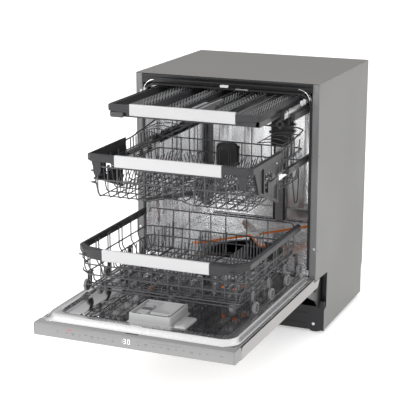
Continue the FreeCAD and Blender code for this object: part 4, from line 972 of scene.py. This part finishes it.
# ---------------------------------------------------------------- top rack
def top_rack():
    """Cutlery tray with sloped floors and comb teeth, frame, inner rails, rollers and bar."""
    body = "top_rack"
    tray = Shape()
    y0, y1 = -316.6, 111.6
    floor_z, rim_z = 739, 773.6
    for side in (-1, 1):
        tray.loft([[(side * a, y, z) for a, z in ((230.6, floor_z), (230.6, rim_z), (226, rim_z),
                                                  (216, floor_z + 2))]
                   for y in (y0, y1)])
    tray.slab(-228, 228, y1 - 2.4, y1, floor_z, rim_z)
    tray.prism([(y0, floor_z), (y0 + 16, floor_z), (y0 + 2.4, rim_z - 4), (y0, rim_z - 4)], "x", -228, 228)
    for x in span(-224, 224, 57):
        tray.slab(x - 1.3, x + 1.3, y0 + 1, y1 - 1, floor_z, floor_z + 3.4)
    for y in span(-300, 100, 9):
        tray.slab(-228, 228, y - 1.5, y + 1.5, floor_z + 0.2, floor_z + 2.0)
    for x, lean in ((-120, 14), (-20, 8), (20, -8), (120, -14)):
        tray.loft([[(x - 2.5 + lean, y, floor_z + 1), (x + 2.5 + lean, y, floor_z + 1),
                    (x + 1.4, y, rim_z - 2),
                    (x - 1.4, y, rim_z - 2)] for y in (y0 + 3, y1 - 2)])
    tray.done("cutlery_tray", "tray", body, 0.6, "tray", ["top_tray"])
    slopes = ((-214, -196, 757, 744), (-106, -84, 746, 762), (60, 84, 760, 744), (136, 156, 762, 746))
    panels = Shape()
    for a, b, z_a, z_b in slopes:
        panels.loft([[(a, y, z_a), (b, y, z_b), (b, y, z_b + 1.8), (a, y, z_a + 1.8)]
                     for y in (y0 + 6, y1 - 6)])
    panels.done("tray_sloped_floors", "tray_mid", body, 0.3, "tray")
    ridges = Shape()
    for a, b, z_a, z_b in slopes:
        for k in (1, 2, 3):
            x = a + (b - a) * k / 4
            z = z_a + (z_b - z_a) * k / 4
            ridges.slab(x - 0.8, x + 0.8, y0 + 8, y1 - 8, z + 1.4, z + 3.4)
    ridges.done("tray_floor_ridges", "tray_light", body, 0.2, "tray")
    teeth, bases = Shape(), Shape()
    for x, lean in ((-178, 7), (-158, 7), (-72, 6), (-52, 6), (32, 5), (104, -6), (174, 7), (194, 7)):
        bases.slab(x - 1.4, x + 1.4, -306, 92, floor_z + 2, floor_z + 13)
        for y in span(-300, 86, 19):
            teeth.loft([[(x - 1.8, y - 1.8, floor_z + 12), (x + 1.8, y - 1.8, floor_z + 12),
                         (x + 1.8, y + 1.8, floor_z + 12), (x - 1.8, y + 1.8, floor_z + 12)],
                        [(x - 1.2 + lean, y - 1.4, 772), (x + 1.2 + lean, y - 1.4, 772),
                         (x + 1.2 + lean, y + 1.4, 772), (x - 1.2 + lean, y + 1.4, 772)]])
    bases.done("tray_comb_bases", "tray_mid", body, 0.2, "tray")
    teeth.done("tray_comb_teeth", "tray_light", body, 0.2, "tray")
    grip = Shape()
    for y in span(-262, -170, 12):
        grip.loft([[(1, v, 752), (36, v, 752), (34, v, 768), (4, v, 771)] for v in (y - 2.4, y + 2.4)])
    grip.prism([(3, 750), (36, 750), (36, 763), (5, 764)], "y", -266, -166)
    grip.slab(30, 36, -266, -110, 762, 772)
    grip.done("tray_slide_grip", "tray_light", body, 0.7, "tray")

    rail = Shape()
    path = [((232.2, 111.8), (236.8, 111.8)), ((232.2, -100), (236.8, -100)), ((232.2, -312), (236.8, -316)),
            ((224, -318.4), (228, -329.4)), ((196, -318.6), (199, -330)), ((163, -318.6), (163, -330))]
    lows = (757.4, 757.4, 757.4, 757, 754.6, 753)
    rings = []
    for (inner, outer), low in zip(path, lows):
        rings.append([(*inner, low), (*outer, low), (*outer, 772.6), (*outer, 772.6), (*inner, 775.8)])
    rail.loft(rings)
    rail.prism([(163.2, 746), (166, 747.6), (170, 751), (178, 753.6), (178, 758), (163.2, 758)], "y", -329.6,
               -325)
    rail.both().done("top_frame_rail", "dark", body, 1.0, "rack_plastic", ["top_frame"], 3)
    grips = Shape()
    grips.prism([(-226, 741), (-222, 738), (-186, 738), (-184, 741), (-184, 754), (-226, 754)], "y", -328,
                -321)
    grips.done("left_corner_grip", "dark_soft", body, 1.6, "rack_plastic", segments=3)
    rods = Shape()
    rods.loft([upright(y, 244.4, 254.8, 738, 760, 4, 5) for y in (-180, 99.6)])
    rods.both().done("top_inner_rails", "zinc", body, 0.6, "rail_steel")
    guides = Shape()
    for y0, y1 in ((-186, -181), (-174, -169), (-150, -146)):
        guides.loft([upright(y, 243.6, 255.0, 736.2, 763.0, 5.0, 5) for y in (y0, y1)])
    for z in (744, 755):
        guides.turn([(1.4, -188.0), (4.2, -188.0), (4.2, -186.0), (1.4, -186.0)], (249.5, 0, z), "y", 14)
    guides.both().done("top_rail_guides", "black", body, 0.6, "rail_steel")
    rollers = Shape()
    for y in (-44, -20):
        rollers.turn([(2, 255.6), (7.5, 255.6), (8.5, 256.4), (8.5, 261.4), (7.5, 262.2), (2, 262.2)],
                     (0, y, 763), "x", 24)
    rollers.both().done("top_rail_rollers", "wheel_light", body, 0.4, "rail_steel")
    handle("top_bar", "top_handle_bar", body, -331, 745.5)


# ---------------------------------------------------------------- rails
def rails():
    """End caps of the telescopic rails, and rollers beside the middle rack."""
    for body, z, front in (("middle_sliders", 587, -173), ("top_sliders", 736, -126)):
        caps = Shape()
        caps.loft([[(x, y, v) for x, v in round_rect(255.7, 267.2, z - 8.8, z + 8.8, 4, 4)]
                   for y in (front - 0.6, front + 9)])
        for y in (front + 15, front + 60):
            caps.turn([(1.5, 266.8), (4.4, 266.8), (4.4, 267.8), (1.5, 267.8)], (0, y, z), "x", 16)
        caps.both().done(body + "_caps", "black", body, 0.8, "rail_steel")
    lower = Shape()
    for y, z in ((-10, 600), (-34, 600)):
        lower.turn([(2, 241), (6.5, 241), (7.5, 242), (7.5, 249), (6.5, 250), (2, 250)], (0, y, z), "x", 24)
    lower.both().done("middle_rack_rollers", "wheel_light", "middle_rack", 0.4, "rail_steel")


# ---------------------------------------------------------------- studio
SENSOR_WIDTH, FOCAL_LENGTH = 36.0, 111.63
CAMERA_PLACE = (1439.7, -3586.1, 1455.0)     # millimetres, as in at()
CAMERA_PITCH, CAMERA_YAW = 15.162, 22.652    # degrees down, and left of straight back


def area_light(name, where, aim, size, power, colour=(1, 1, 1)):
    """Large soft box that faces a point."""
    data = bpy.data.lights.new(name, "AREA")
    data.shape = "RECTANGLE"
    data.size, data.size_y = size
    data.energy = power
    data.color = colour
    lamp = bpy.data.objects.new(name, data)
    lamp.location = where
    lamp.rotation_euler = (Vector(aim) - Vector(where)).to_track_quat("-Z", "Y").to_euler()
    bpy.context.scene.collection.objects.link(lamp)


def studio():
    """Pale floor, soft light and the camera."""
    mesh = bpy.data.meshes.new("studio_floor")
    half = 30.0
    corners = [(-half, -half, 0), (half, -half, 0), (half, half, 0), (-half, half, 0)]
    mesh.from_pydata(corners, [], [(0, 1, 2, 3)])
    floor = bpy.data.objects.new("studio_floor", mesh)
    bpy.context.scene.collection.objects.link(floor)
    mat, shader = principled("studio_floor_pale")
    noise = add_noise(mat, 2.0)
    vary_colour(mat, shader, noise, (0.94, 0.94, 0.94), (0.96, 0.96, 0.96))
    shader.inputs["Roughness"].default_value = 0.9
    shader.inputs["Emission Color"].default_value = (1, 1, 1, 1)
    shader.inputs["Emission Strength"].default_value = 0.42
    floor.data.materials.append(mat)

    world = bpy.data.worlds.new("studio_world")
    world.use_nodes = True
    tree = world.node_tree
    place = tree.nodes.new("ShaderNodeTexCoord")
    split = tree.nodes.new("ShaderNodeSeparateXYZ")
    ramp = tree.nodes.new("ShaderNodeValToRGB")
    ramp.color_ramp.elements[0].position = 0.12
    ramp.color_ramp.elements[0].color = (0.10, 0.10, 0.10, 1)
    ramp.color_ramp.elements[1].position = 0.62
    ramp.color_ramp.elements[1].color = (1, 1, 1, 1)
    tree.links.new(place.outputs["Generated"], split.inputs["Vector"])
    tree.links.new(split.outputs["Z"], ramp.inputs["Fac"])
    tree.links.new(ramp.outputs["Color"], tree.nodes["Background"].inputs["Color"])
    tree.nodes["Background"].inputs["Strength"].default_value = 1.05
    bpy.context.scene.world = world
    bpy.context.scene.view_settings.view_transform = "Standard"

    area_light("key_left", (-2.6, -2.6, 1.9), (0, -0.2, 0.4), (0.9, 2.6), 78)
    area_light("front_right", (0.9, -4.2, 2.0), (0, -0.2, 0.45), (1.1, 2.4), 45)
    area_light("fill_right", (3.2, -0.6, 2.0), (0, 0, 0.4), (1.6, 2.0), 18)

    camera_data = bpy.data.cameras.new("camera")
    camera_data.sensor_width = SENSOR_WIDTH
    camera_data.lens = FOCAL_LENGTH
    camera_data.clip_end = 100.0
    camera = bpy.data.objects.new("camera", camera_data)
    camera.location = at(*CAMERA_PLACE)
    pitch, yaw = math.radians(CAMERA_PITCH), math.radians(CAMERA_YAW)
    camera.rotation_euler = (math.pi / 2 - pitch, 0, yaw)
    bpy.context.scene.collection.objects.link(camera)
    bpy.context.scene.camera = camera


cabinet()
water_parts()
door()
lower_rack()
middle_rack()
top_rack()
rails()
studio()
